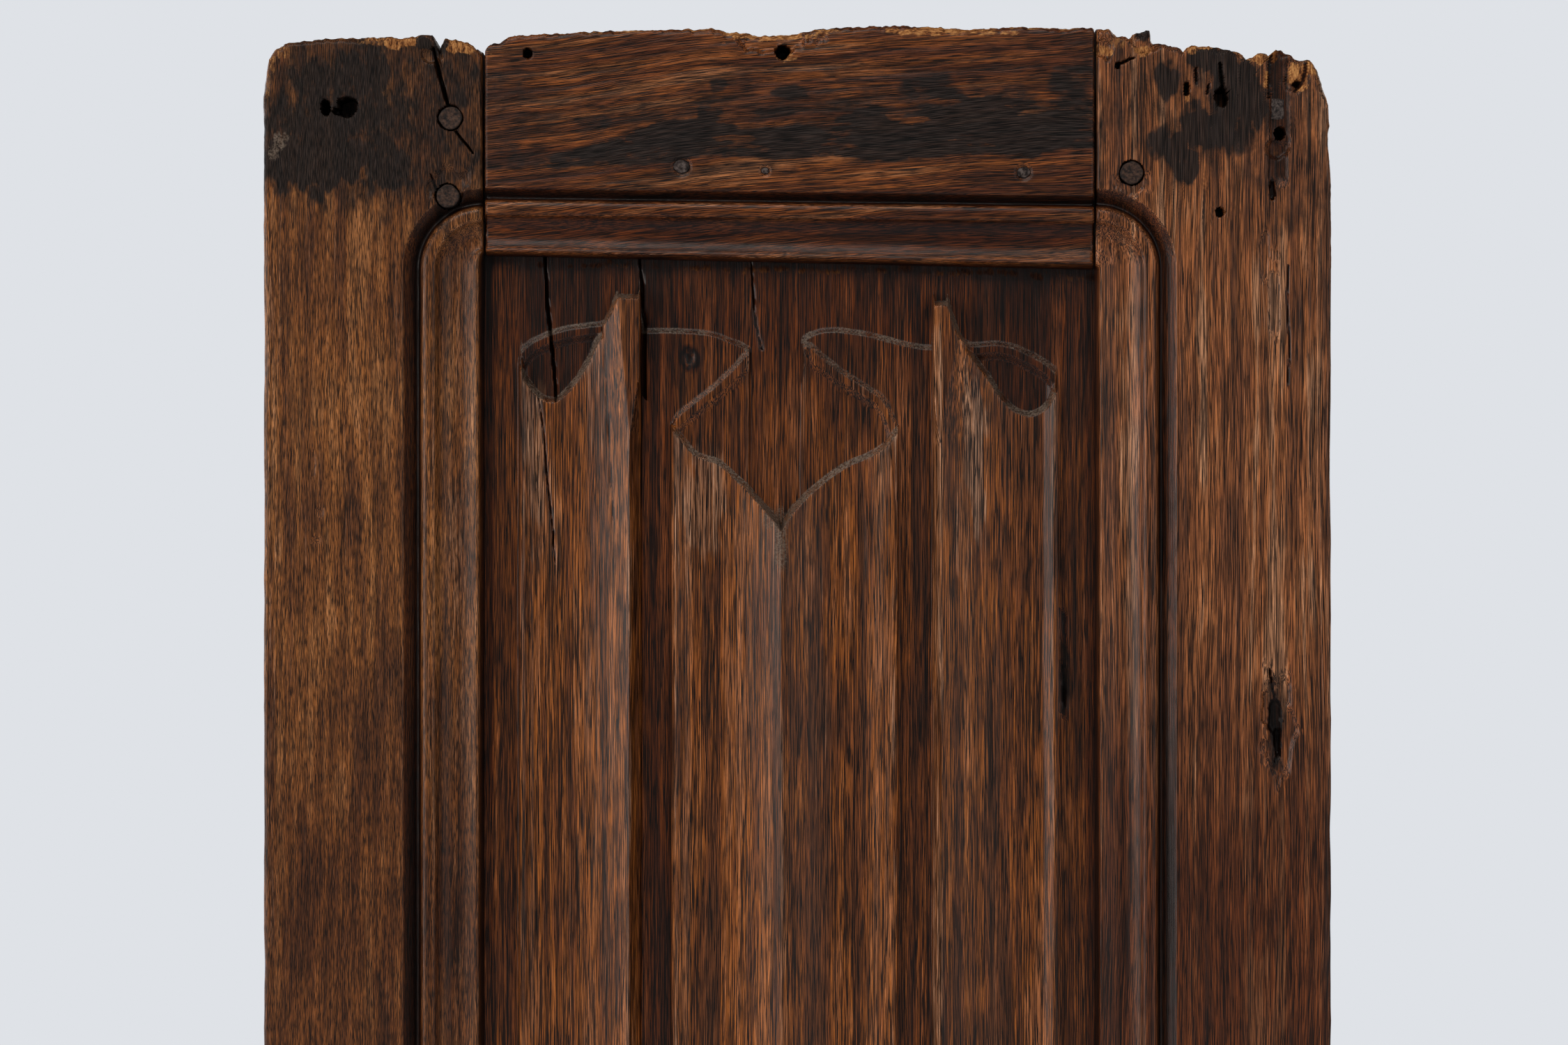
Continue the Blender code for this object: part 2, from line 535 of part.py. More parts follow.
def build():
    clear_scene()
    left = stile("left_stile", -1, LEFT_EDGE, LEFT_SIDE, LEFT_STILE_BREAK, LEFT_STILE_HOLES)
    right = stile("right_stile", 1, RIGHT_EDGE, RIGHT_SIDE, RIGHT_STILE_BREAK, RIGHT_STILE_HOLES)
    knot = [place(pixel) for pixel in KNOT_HOLE]
    boolean(right, prism("knot_hole", knot, "Y", FACE - CUT_PAST, FACE + KNOT_DEPTH))
    top = rail("top_rail", 1)
    bottom = rail("bottom_rail", -1)

    width = RIGHT_EDGE - LEFT_EDGE
    broken = [(LEFT_EDGE + share * width, TOP_LINE - lost) for share, lost in RAIL_BREAK]
    above = TOP_LINE + CUT_PAST
    boolean(top, prism("rail_break", [(LEFT_EDGE, above)] + broken + [(RIGHT_EDGE, above)], "Y",
                       FACE - CUT_PAST, CUT_PAST))
    drill(top, RAIL_HOLES)

    panel = linenfold_panel()
    pegs = []
    for name, (x, z) in peg_places().items():
        hole = cylinder(name + "_hole", x, z, PEG_DIAMETER + 2 * FIT_GAP, FACE - CUT_PAST, CUT_PAST,
                        PEG_SIDES)
        boolean(left if x < 0 else right, hole)
        boolean(top if z > MIDDLE else bottom, hole)
        peg = cylinder(name, x, z, PEG_DIAMETER, FACE, 0, PEG_SIDES, parts)
        boolean(peg, bpy.data.objects["left_stile_moulding" if x < 0 else "right_stile_moulding"])
        pegs.append(peg)

    nails = []
    for name, pixel in RAIL_NAILS.items():
        x, z = place(pixel)
        boolean(top, cylinder(f"nail_hole_{name}", x, z, NAIL_DIAMETER + 2 * FIT_GAP, FACE - CUT_PAST,
                              FACE + NAIL_LENGTH + FIT_GAP, PEG_SIDES))
        nails.append(cylinder(f"rail_nail_{name}", x, z, NAIL_DIAMETER, FACE, FACE + NAIL_LENGTH,
                              PEG_SIDES, parts))

    x, z = place(PLUG_PLACE)
    half, tall = PLUG_WIDTH / 2, PLUG_HEIGHT / 2
    boolean(right, box("plug_hole", (x - half - FIT_GAP, FACE - CUT_PAST, z - tall - FIT_GAP),
                       (x + half + FIT_GAP, FACE + PLUG_DEPTH + FIT_GAP, z + tall + FIT_GAP)))
    plug = box("right_stile_plug", (x - half, FACE + FIT_GAP, z - tall),
               (x + half, FACE + PLUG_DEPTH, z + tall), parts)

    material(left, (0.16, 0.072, 0.032), 0.5)
    material(right, (0.17, 0.078, 0.036), 0.52)
    material(top, (0.13, 0.056, 0.026), 0.5)
    material(bottom, (0.14, 0.06, 0.027), 0.5)
    material(panel, (0.15, 0.064, 0.029), 0.45)
    for peg in pegs:
        material(peg, (0.075, 0.045, 0.032), 0.6)
    for nail in nails:
        material(nail, (0.05, 0.038, 0.035), 0.7, 0.6)
    material(plug, (0.05, 0.04, 0.036), 0.65)


build()
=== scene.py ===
# %% [markdown]
# # A carved oak panel
# Two upright stiles and two rails are tenoned and pegged together, and hold one oak board. The board is
# carved in linenfold: folds of cloth that hang side by side. The top of the frame is broken, stained and
# worn. Each wooden piece is one closed surface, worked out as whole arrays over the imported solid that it
# stands for.

import bmesh
import bpy
import numpy as np
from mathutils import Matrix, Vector


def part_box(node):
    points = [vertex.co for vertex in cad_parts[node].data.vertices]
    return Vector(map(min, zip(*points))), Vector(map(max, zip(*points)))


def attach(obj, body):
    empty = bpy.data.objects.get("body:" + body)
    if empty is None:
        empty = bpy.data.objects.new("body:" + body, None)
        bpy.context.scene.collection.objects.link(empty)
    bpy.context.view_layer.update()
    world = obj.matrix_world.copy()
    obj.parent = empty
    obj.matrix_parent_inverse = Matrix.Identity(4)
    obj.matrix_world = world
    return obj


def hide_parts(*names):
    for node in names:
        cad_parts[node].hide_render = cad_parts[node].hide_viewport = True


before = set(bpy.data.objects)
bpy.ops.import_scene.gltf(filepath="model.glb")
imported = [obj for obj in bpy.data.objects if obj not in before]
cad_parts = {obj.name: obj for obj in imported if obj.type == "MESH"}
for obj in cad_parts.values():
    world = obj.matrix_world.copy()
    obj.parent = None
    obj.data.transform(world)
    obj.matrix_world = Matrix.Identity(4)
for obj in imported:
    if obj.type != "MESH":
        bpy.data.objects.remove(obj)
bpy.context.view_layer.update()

MM = 0.001
print("nodes:", len(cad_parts))

# %% [markdown]
# Every level and edge is read from the imported solids, so the surfaces sit where the construction has them.
# Places that were read in the photograph are pixels across and down, and two lines tie them to the
# frame: the opening's left edge, and the level of its upper corners.

# %% Levels, edges and the photograph's scale
LEFT_SIDE, FACE, BOTTOM_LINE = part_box("left_stile")[0]
LEFT_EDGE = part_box("left_stile")[1].x
RIGHT_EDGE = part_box("right_stile")[0].x
RIGHT_SIDE, _, TOP_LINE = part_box("right_stile")[1]
TOP_CORNER = -TOP_LINE
BOTTOM_CORNER = BOTTOM_LINE + 2 * TOP_LINE
MIDDLE = (TOP_CORNER + BOTTOM_CORNER) / 2
CREST_HEIGHT = 9 * MM
BOARD_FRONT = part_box("linenfold_panel")[0].y + CREST_HEIGHT
BOARD_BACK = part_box("linenfold_panel")[1].y
OPENING_PIXELS = 882
LEFT_EDGE_PIXEL = 692
CORNER_PIXEL = 385
PHOTO_SIZE = (2250, 1500)
PIXEL = (RIGHT_EDGE - LEFT_EDGE) / OPENING_PIXELS


def across(px):
    """The x of a place, from pixels across the photograph."""
    return LEFT_EDGE + (np.asarray(px, float) - LEFT_EDGE_PIXEL) * PIXEL


def level(py):
    """The z of a place, from pixels down the photograph."""
    return TOP_CORNER - (np.asarray(py, float) - CORNER_PIXEL) * PIXEL


def pixel_x(x):
    """Pixels across the photograph, from x."""
    return (x - LEFT_EDGE) / PIXEL + LEFT_EDGE_PIXEL


def pixel_y(z):
    """Pixels down the photograph, from z."""
    return (TOP_CORNER - z) / PIXEL + CORNER_PIXEL


MIDDLE_PIXEL = float(pixel_y(MIDDLE))
print(f"one pixel is {PIXEL / MM:.4f} mm, and the board's middle is at pixel {MIDDLE_PIXEL:.0f}")

# %% [markdown]
# Old wood is irregular everywhere, so most shapes get a little smooth noise. It is made here from
# whole-number arithmetic alone, which gives the same result on every run.

# %% Small helpers for shapes


def ease(value, start, end):
    """From 0 at start to 1 at end, along 3t^2 - 2t^3."""
    t = np.clip((value - start) / (end - start), 0, 1)
    return t * t * (3 - 2 * t)


def lattice(seed, i, j):
    """A number from 0 to 1 for each lattice point: its two whole numbers times primes, added and scrambled."""
    mixed = (i * 374761393 + j * 668265263 + seed * 144665) & 0xFFFFFFFF
    mixed = ((mixed ^ (mixed >> 13)) * 1274126177) & 0xFFFFFFFF
    return ((mixed ^ (mixed >> 16)) & 0xFFFF) / 0xFFFF


def noise(u, v, seed):
    """Smooth noise from -1 to 1: random numbers on a unit lattice, eased across each of its cells."""
    i, j = np.floor(u).astype(np.int64), np.floor(v).astype(np.int64)
    s, t = ease(u - i, 0, 1), ease(v - j, 0, 1)
    low = lattice(seed, i, j) * (1 - s) + lattice(seed, i + 1, j) * s
    high = lattice(seed, i, j + 1) * (1 - s) + lattice(seed, i + 1, j + 1) * s
    return 2 * (low * (1 - t) + high * t) - 1


def rough(u, v, seed, octaves=3):
    """Noise with finer and fainter noise added: each octave has half the size and half the strength."""
    return sum(noise(u * 2**k, v * 2**k, seed + k) / 2**k for k in range(octaves))


def flow(points, steps):
    """A smooth line through points: in each stretch a cubic whose slope at a point follows its neighbours."""
    p = np.asarray(points, float)
    ends = np.vstack([p[:1], p, p[-1:]])
    a, b, c, d = (ends[k:len(ends) - 3 + k, None] for k in range(4))
    t = (np.arange(steps) / steps)[None, :, None]
    line = b + ((c - a) * t + (2 * a - 5 * b + 4 * c - d) * t**2 + (3 * b - a - 3 * c + d) * t**3) / 2
    return np.vstack([line.reshape(-1, p.shape[1]), p[-1:]])


def stations(*stretches):
    """Places along a line: each stretch is its start and its step, and the last number ends it."""
    places = []
    for (start, step), after in zip(stretches[:-1], stretches[1:]):
        end = after[0] if isinstance(after, tuple) else after
        count = max(1, round((end - start) / step))
        places.append(np.linspace(start, end, count, endpoint=False))
    return np.append(np.concatenate(places), stretches[-1])


def between(value, low, high, soft=1.2):
    """1 between two places and 0 outside them, with an eased step of twice the softness at each."""
    return ease(value, low - soft, low + soft) * (1 - ease(value, high - soft, high + soft))


def blob(px, py, x, y, wide, tall, seed, size=(14, 35), ragged=0.35):
    """1 inside an oval and 0 outside, its edge moved in and out by noise of a size across and down."""
    reach = np.hypot((px - x) / wide, (py - y) / tall) + ragged * rough(px / size[0], py / size[1], seed)
    return 1 - ease(reach, 0.7, 1.2)


def trail(px, py, points):
    """Each place's distance from a line of points, and how far along the line its nearest point is."""
    p = np.asarray(points, float)
    steps = np.hypot(*np.diff(p, axis=0).T)
    far, share, run = np.full(px.shape, 1e9), np.zeros(px.shape), 0.0
    for (x, y), (dx, dy), length in zip(p[:-1], np.diff(p, axis=0), steps):
        t = np.clip(((px - x) * dx + (py - y) * dy) / length**2, 0, 1)
        gap = np.hypot(px - x - t * dx, py - y - t * dy)
        nearer = gap < far
        far = np.where(nearer, gap, far)
        share = np.where(nearer, (run + t * length) / steps.sum(), share)
        run += length
    return far, share


def crack(px, py, points, width):
    """1 in the middle of a crack and 0 outside it: it is widest in its middle and fades at both ends."""
    far, share = trail(px, py, points)
    half = width / 2 * (0.35 + 0.65 * np.sqrt(np.clip(4 * share * (1 - share), 0, 1)))
    return 1 - ease(far, 0.3 * half, half + 0.6)


def arris(left, radius, share=1.0):
    """How far a surface sinks at a worn edge: a quarter round over the last stretch before the edge."""
    cut = np.clip(radius - left, 0, radius) * share
    return radius - np.sqrt(radius**2 - 0.98 * cut**2)


print("noise at three places:", np.round(noise(np.array([0.2, 3.4, 9.9]), np.array([0.1, 0.5, 2.2]), 1), 3))

# %% [markdown]
# A piece of the frame or the board is a front surface on a grid, whose border is carried back in rings to a
# flat back. The rings can step sideways, which makes the groove in a stile, a mortise, or the tenon on a
# rail. Marks are numbers kept at each point, such as how much dust lies there, and the materials read them by
# name.

# %% Closed pieces from a grid
MARKS = ("stain", "raw", "dust", "worn", "grime", "furrow")


def border(grid):
    """The grid's edge in order, once round: first row, last column, last row back, first column back."""
    return np.concatenate([grid[0, :-1], grid[:-1, -1], grid[-1, :0:-1], grid[:0:-1, 0]])


def put_mesh(name, points, faces, marks):
    """A mesh from points and faces (a list of arrays of corner numbers), welded and turned outward."""
    mesh = bpy.data.meshes.new(name)
    corners = np.concatenate([f.ravel() for f in faces])
    sizes = np.concatenate([np.full(len(f), f.shape[1]) for f in faces])
    mesh.vertices.add(len(points))
    mesh.vertices.foreach_set("co", points.astype(np.float32).ravel())
    mesh.loops.add(len(corners))
    mesh.loops.foreach_set("vertex_index", corners.astype(np.int32))
    mesh.polygons.add(len(sizes))
    mesh.polygons.foreach_set("loop_start", (np.cumsum(sizes) - sizes).astype(np.int32))
    mesh.update(calc_edges=True)
    for key, values in marks.items():
        mesh.attributes.new(key, "FLOAT", "POINT").data.foreach_set("value", values.astype(np.float32))
    work = bmesh.new()
    work.from_mesh(mesh)
    bmesh.ops.remove_doubles(work, verts=work.verts, dist=0.002 * MM)
    bmesh.ops.dissolve_degenerate(work, edges=work.edges, dist=0.001 * MM)
    bmesh.ops.recalc_face_normals(work, faces=work.faces)
    open_edges = sum(not edge.is_manifold for edge in work.edges)
    work.to_mesh(mesh)
    work.free()
    mesh.shade_smooth()
    mesh.set_sharp_from_angle(angle=np.radians(58))
    piece = bpy.data.objects.new(name, mesh)
    bpy.context.scene.collection.objects.link(piece)
    triangles = sum(len(p.vertices) - 2 for p in mesh.polygons)
    print(f"{name}: {triangles} triangles, {open_edges} open edges")
    return piece


def closed_piece(name, front, rings, marks, grain_across=(1, 0, 0)):
    """The front grid, then rings of its border's points going back, and one flat face that fills the last.
    The grain keeps its place on each ring: its lay moves as far as the ring does across the grain."""
    rows, columns, _ = front.shape
    number = np.arange(rows * columns).reshape(rows, columns)
    ring = border(number)
    count = len(ring)
    corners = [number[:-1, :-1], number[1:, :-1], number[1:, 1:], number[:-1, 1:]]
    quads = [np.stack(corners, -1).reshape(-1, 4)]
    for k in range(len(rings)):
        after = rows * columns + k * count + np.arange(count)
        quads.append(np.stack([ring, np.roll(ring, -1), np.roll(after, -1), after], -1))
        ring = after
    points = np.concatenate([front.reshape(-1, 3)] + rings)
    fade = [1.0] * (len(rings) - 2) + [0.5, 0.0]
    lay, edge = border(marks["lay"]), border(front)
    lays = [lay + (moved - edge) @ grain_across for moved in rings]
    lays[-1] = rings[-1] @ grain_across + np.mean(lay - edge @ grain_across)
    kept = {"lay": np.concatenate([marks["lay"].ravel()] + lays)}
    for key in MARKS:
        values = marks.get(key, np.zeros((rows, columns)))
        kept[key] = np.concatenate([values.ravel()] + [border(values) * f for f in fade])
    return put_mesh(name, points, quads + [ring[None, :]], kept)


# %% [markdown]
# The moulding along the opening is one profile: a thin wall up from the board, a soft arris, a wide hollow, a
# round bead, a narrow dark quirk and a bevel out to the flat. It was cut with a plane or a scratch stock
# along the straight parts and carved round the corners. Here it is a smooth line through a few points, each
# with its distance out from the opening, its depth below the face, how much grime and painted shade lies
# there (painted shade at the wall, in the quirk and on the bevel), and how much wear and painted highlight
# (pale lit arrises, and a lit strip in the hollow).

# %% The moulding's profile
STILE_PROFILE = [  # out, depth, grime and painted shade, wear and painted highlight
    (0, 11.2, 1, 0), (0.5, 9.6, 0.9, 0), (1.1, 6.4, 0.5, 0), (1.5, 4.4, 0.1, 0.5), (2.0, 3.7, 0, 0.9),
    (2.9, 3.75, 0, 0.4), (6, 4.7, 0.1, 0.4), (10.2, 5.3, 0.15, 0.9), (14, 4.5, 0.1, 0.1),
    (16.6, 2.9, 0.1, 0), (17.8, 1.6, 0.1, 0.2), (18.5, 0.95, 0, 0.75), (19.3, 0.65, 0, 0.4),
    (21, 0.5, 0, 0.1), (22.4, 0.75, 0, 0.3), (23.2, 1.4, 0, 0.8), (23.9, 2.9, 0.4, 0.1), (24.5, 4.2, 1, 0),
    (25.3, 4.8, 1, 0), (26.1, 4.3, 0.9, 0), (28, 2.5, 0.7, 0), (29.8, 0.85, 0.5, 0), (30.5, 0.2, 0.1, 0.7),
    (30.9, 0.02, 0, 0.4), (31.8, 0, 0, 0.1)]
# The rail's grime column is mostly painted shade at its wall, in its hollow and quirk, and its wear column
# paints its lit arrises pale as painted highlights.
RAIL_PROFILE = [
    (5.6, 11.2, 0.8, 0), (5.9, 8.5, 0.6, 0), (6.4, 5.2, 0.1, 0.1), (7.1, 3.8, 0, 0.6), (7.9, 3.7, 0, 0.4),
    (9.5, 4.6, 0.3, 0), (12, 5.4, 0.4, 0), (15.5, 5.2, 0.5, 0), (18.5, 4.0, 0.6, 0), (20.0, 2.6, 0.5, 0.1),
    (20.7, 1.6, 0.2, 0.3), (21.6, 1.0, 0.2, 0.1), (23.4, 0.75, 0.2, 0), (25, 0.9, 0.1, 0.2),
    (26.0, 1.5, 0, 0.7), (26.6, 3.0, 0.7, 0), (27.2, 3.9, 1, 0), (28.0, 3.9, 1, 0), (29.4, 2.4, 0.9, 0),
    (30.6, 0.7, 0.5, 0.1),
    (31.3, 0.12, 0.2, 0.5), (32.4, 0, 0.1, 0)]
stile_profile = flow(STILE_PROFILE, 2)
rail_profile = flow(RAIL_PROFILE, 3)
print("profile stations:", len(stile_profile), len(rail_profile))

# %% [markdown]
# The frame's damage is listed by place. A hole is an oval pit, a crack is a line that is deepest in its
# middle, and a hollow is a shallow worn place. Each one adds its depth to the surface under it.

# %% Holes, cracks and hollows in the frame
HOLES = [  # across, down, half width, half height, depth in mm
    (467, 153, 6.5, 12, 14), (498, 153, 14, 13, 15), (485, 160, 7, 5, 5),
    (1753, 139, 10, 13, 15), (1837, 190, 7, 9, 13), (1751, 305, 6.5, 7, 13),
    (757, 76, 6.5, 6.5, 12), (1123, 74, 10, 10, 16),
    (1604, 93, 4, 5, 5), (1703, 126, 4, 10, 5), (1862, 121, 6, 5, 5), (1830, 1032, 10, 30, 3.0),
    (1834, 1065, 5, 24, 4.5), (1826, 272, 4, 17, 2.6)]
HOLLOWS = [
    (1834, 214, 13, 10, 1.2), (1834, 1040, 22, 60, 1.5), (640, 262, 26, 20, 1.2),
    (1624, 262, 20, 16, 0.8), (620, 80, 12, 9, 1.4), (1640, 62, 16, 11, 2.2), (1585, 70, 12, 14, 1.8),
    (1860, 105, 14, 22, 1.3), (1110, 55, 50, 14, 1.6), (1830, 430, 8, 60, 0.6), (1815, 370, 6, 30, 0.7),
    (460, 735, 5, 7, 0.5), (452, 775, 6, 5, 0.5), (450, 665, 3, 16, 0.3)]
CRACKS = [  # width in pixels, depth in mm, points
    (6, 3.5, [(622, 68), (624, 80), (630, 105), (637, 130), (642, 150)]),
    (3, 2.0, [(654, 188), (662, 199), (670, 208), (679, 220)]),
    (5, 2.0, [(1751, 90), (1753, 110), (1755, 128)]),
    (4, 1.8, [(1606, 92), (1616, 87), (1628, 82)]),
    (5.5, 1.6, [(1875, 90), (1873, 104), (1869, 118), (1858, 130)]),
    (5, 1.6, [(1824, 72), (1822, 95), (1821, 140)]),
    (4.5, 1.4, [(1716, 96), (1717, 120)]), (4.5, 1.2, [(1735, 120), (1732, 135)]),
    (4, 2.2, [(1828, 1100), (1834, 1080), (1838, 1045), (1832, 1010), (1826, 985), (1822, 960)]),
    (3, 1.6, [(1818, 1032), (1828, 1040), (1842, 1034)]),
    (3, 0.8, [(1849, 380), (1847, 430), (1851, 500), (1847, 560)]),
    (3, 1.1, [(618, 250), (622, 262), (629, 276), (640, 288)])]
CHANNEL = (1821, 1848, 72, 262)  # the shallow slot round the plug: left, right, top and bottom


def damage(px, py):
    """The depth of all holes, hollows and cracks at each place, in metres, and where their walls are darkened:
    painted shade in the pits and cracks, and grime in the plug's channel.
    """
    shift = 2.5 * rough(py / 25, px / 90, 290)
    channel = between(px + shift, *CHANNEL[:2], 2.5) * between(py, *CHANNEL[2:], 12)
    depth, dark = 1.1 * MM * channel, 0.45 * channel
    for k, (x, y, wide, tall, deep) in enumerate(HOLLOWS):
        depth += deep * MM * blob(px, py, x, y, wide * 1.2, tall * 1.2, 300 + k) ** 1.5
    for k, (x, y, wide, tall, deep) in enumerate(HOLES):
        far = np.hypot((px - x) / wide, (py - y) / tall) + 0.16 * rough(px / 9, py / 9, 350 + k)
        pit = 1 - ease(far, 0.72, 1.12)
        depth = np.maximum(depth, deep * MM * pit)
        dark = np.maximum(dark, ease(pit, 0.1, 0.45))
    for width, deep, points in CRACKS:
        split = crack(px, py, points, width)
        depth = np.maximum(depth, deep * MM * split)
        dark = np.maximum(dark, split)
    return depth, dark


# %% [markdown]
# Stains and breaks are marks and not shapes. The black ones are iron and damp, the tan ones are raw wood
# where the edge broke off, and the grey is dust and wax in corners.

# %% Stains and raw wood on the frame
STAINS = [  # across, down, half width, half height, strength
    (520, 150, 170, 140, 0.55), (640, 160, 60, 150, 0.58), (1740, 130, 190, 110, 0.35),
    (1850, 250, 60, 130, 0.35),
    (1150, 215, 460, 70, 0.35), (720, 170, 50, 90, 0.45),
    (482, 190, 104, 92, 0.78), (455, 115, 50, 42, 0.8), (520, 105, 48, 38, 0.9), (560, 85, 38, 26, 0.6),
    (470, 175, 62, 50, 0.9),
    (460, 238, 88, 38, 1.0), (545, 170, 40, 50, 0.75), (560, 245, 48, 42, 0.85), (410, 225, 36, 40, 0.9),
    (605, 60, 16, 12, 1.0), (631, 68, 12, 10, 1.0), (580, 165, 20, 26, 0.6), (620, 215, 22, 20, 0.5),
    (670, 250, 26, 40, 0.4), (640, 281, 22, 20, 0.6),
    (1675, 118, 20, 30, 0.9), (1665, 205, 20, 26, 0.75), (1690, 220, 24, 34, 0.95), (1706, 236, 14, 26, 0.9),
    (1735, 190, 40, 42, 1.0), (1770, 130, 34, 60, 1.0), (1735, 80, 30, 24, 0.9), (1795, 150, 20, 40, 0.8),
    (1720, 110, 16, 20, 0.6), (1710, 165, 16, 22, 0.7), (1780, 195, 24, 26, 0.7), (1823, 150, 10, 60, 0.5),
    (1847, 160, 6, 60, 0.5), (1642, 48, 12, 12, 0.9), (1585, 190, 10, 40, 0.4), (1832, 1035, 18, 62, 0.6),
    (975, 232, 95, 24, 1.0), (900, 250, 120, 18, 0.8), (850, 205, 34, 12, 0.6), (1130, 178, 34, 12, 0.85),
    (1110, 205, 40, 10, 0.6), (1130, 240, 70, 26, 0.9), (1250, 225, 60, 30, 0.85), (1330, 170, 40, 20, 0.75),
    (1400, 215, 90, 34, 0.95), (1300, 250, 110, 24, 1.0), (1490, 240, 80, 36, 1.0), (1540, 190, 34, 60, 0.7),
    (1545, 110, 22, 50, 0.35), (1030, 165, 14, 10, 0.7), (1020, 205, 18, 16, 0.7), (1450, 180, 40, 14, 0.5),
    (740, 255, 50, 14, 0.6), (1205, 195, 24, 10, 0.6), (1290, 130, 20, 7, 0.4), (1150, 262, 420, 9, 0.8)]
RAW = [
    (572, 61, 22, 9, 0.9), (662, 67, 20, 11, 0.8), (405, 74, 16, 10, 0.5), (390, 92, 10, 16, 0.5),
    (383, 120, 5, 40, 0.4), (540, 60, 26, 6, 0.5), (1105, 50, 66, 7, 1.0), (1330, 45, 75, 6, 0.9),
    (1190, 45, 26, 4, 0.7),
    (1430, 47, 50, 4, 0.6), (1585, 72, 14, 8, 0.8), (1640, 72, 14, 8, 0.9), (1606, 62, 16, 10, 0.5),
    (1804, 82, 12, 10, 1.0), (1828, 76, 8, 12, 1.0), (1862, 108, 12, 18, 0.9), (1880, 96, 12, 12, 1.0),
    (1818, 112, 6, 14, 0.8), (1703, 138, 4, 8, 0.9), (1708, 72, 10, 7, 0.7), (1730, 66, 12, 5, 0.6),
    (1870, 112, 8, 20, 0.9), (1832, 216, 9, 7, 0.4), (700, 75, 12, 5, 0.4), (1130, 82, 16, 8, 0.6)]
PALE = [(400, 203, 9, 12, 1.0), (393, 220, 8, 14, 0.8), (410, 197, 6, 6, 0.6)]


def spread(px, py, places, seed, size=(14, 35)):
    """The strongest of several soft ovals at each place."""
    most = np.zeros(px.shape)
    for k, (x, y, wide, tall, strength) in enumerate(places):
        most = np.maximum(most, strength * blob(px, py, x, y, wide, tall, seed + 5 * k, size))
    return most


# %% [markdown]
# Each joint is held by oak pegs, driven through the tenon and cut off flush. Five centuries of shrinking
# leave a dark gap around each one, so the stiles have a pit there that is a little wider than the peg.

# %% Peg places
PEG_RADIUS = 4.5 * MM
PEGS = {"left_upper": (646, 169), "left_lower": (642, 281), "right": (1624, 248)}


def peg_centre(where, end):
    """A peg's x and z. The pegs of the bottom mirror those of the top."""
    px, py = PEGS[where]
    z = float(level(py))
    return float(across(px)), z if end == "top" else 2 * MIDDLE - z


def peg_pits(x, z, side, wider=0.32):
    """1 inside each peg's hole on this side of the frame and 0 outside."""
    pits = np.zeros(x.shape)
    for end in ("top", "bottom"):
        for where in PEGS:
            cx, cz = peg_centre(where, end)
            if np.sign(cx) == side:
                gap = np.hypot(x - cx, z - cz) + 0.25 * MM * rough(x / (3 * MM), z / (3 * MM), 71)
                pits = np.maximum(pits, 1 - ease(gap, PEG_RADIUS + 0.1 * MM, PEG_RADIUS + wider * MM))
    return pits


# %% [markdown]
# A stile is worked out on rays. Along the opening the rays are level. At each corner they turn a quarter
# about the corner's point, and so carry the moulding round to meet the rail. Each ray runs from the opening
# across the moulding and the flat to the stile's outline, which at the top is the broken end of the board.

# %% Outlines of the broken top
LEFT_TOP = [(692, 75), (688, 72), (681, 68), (671, 60), (659, 59), (654, 55), (637, 55), (631, 68), (629, 72),
            (627, 60), (619, 50), (609, 50), (584, 53), (571, 55), (564, 52), (539, 53), (484, 54), (455, 56),
            (446, 58), (422, 60), (410, 62), (392, 72), (385, 85), (381, 102), (379, 124), (377, 139),
            (378, 200), (378, 386)]
RIGHT_TOP = [(1574, 41), (1592, 40), (1600, 47), (1603, 51), (1615, 50), (1621, 55), (1627, 48), (1634, 45),
             (1650, 41), (1653, 55), (1655, 60), (1659, 61), (1677, 64), (1692, 67), (1699, 74), (1704, 67),
             (1714, 64), (1729, 65), (1744, 67), (1759, 71), (1780, 74), (1785, 81), (1789, 84), (1799, 82),
             (1804, 77), (1816, 74), (1822, 81), (1825, 68), (1841, 72), (1848, 76), (1856, 82), (1866, 85),
             (1880, 84), (1886, 90), (1891, 100), (1898, 117), (1904, 137), (1908, 154), (1909, 179),
             (1906, 194), (1907, 214), (1909, 237), (1911, 279), (1911, 386)]
RAIL_TOP = [(692, 76), (696, 72), (702, 64), (717, 60), (729, 52), (775, 49), (863, 44), (962, 42), (1027, 40),
            (1043, 45), (1073, 47), (1100, 51), (1161, 46), (1169, 41), (1196, 39), (1285, 36), (1356, 39),
            (1384, 42), (1469, 38), (1530, 40), (1580, 40)]
WALL_LEVELS = np.array([-22.5, -20, -17.5]) * MM
GROOVE = (-14.8 * MM, -8.5 * MM, 10 * MM)  # front level, back level and depth, as in the next two
MORTISE = (-15.95 * MM, -7.35 * MM, 56 * MM)
TENON = (-15.65 * MM, -7.65 * MM, 54 * MM)
TENON_LEVELS = (-27.65 * MM, 22.25 * MM)
BACK_LEVELS = np.array([-5.5, -3]) * MM
BACK = -0.3 * MM
TOP_RAYS, FOOT_RAYS, FLAT_STEPS = 215, 70, 92
EDGE_STEPS = np.array([2.6, 1.9, 1.3, 0.85, 0.5, 0.22, 0]) * MM
print("the joints' levels in mm:", np.round(np.array([GROOVE, MORTISE, TENON]) / MM, 2).tolist())

# %% [markdown]
# The top's outline is read by its own angles about the corner, so each ray knows how far it runs. A frame
# piece's rings go down its wall, sideways where its joint or its groove is, and on to its flat back.

# %% Rays and rings


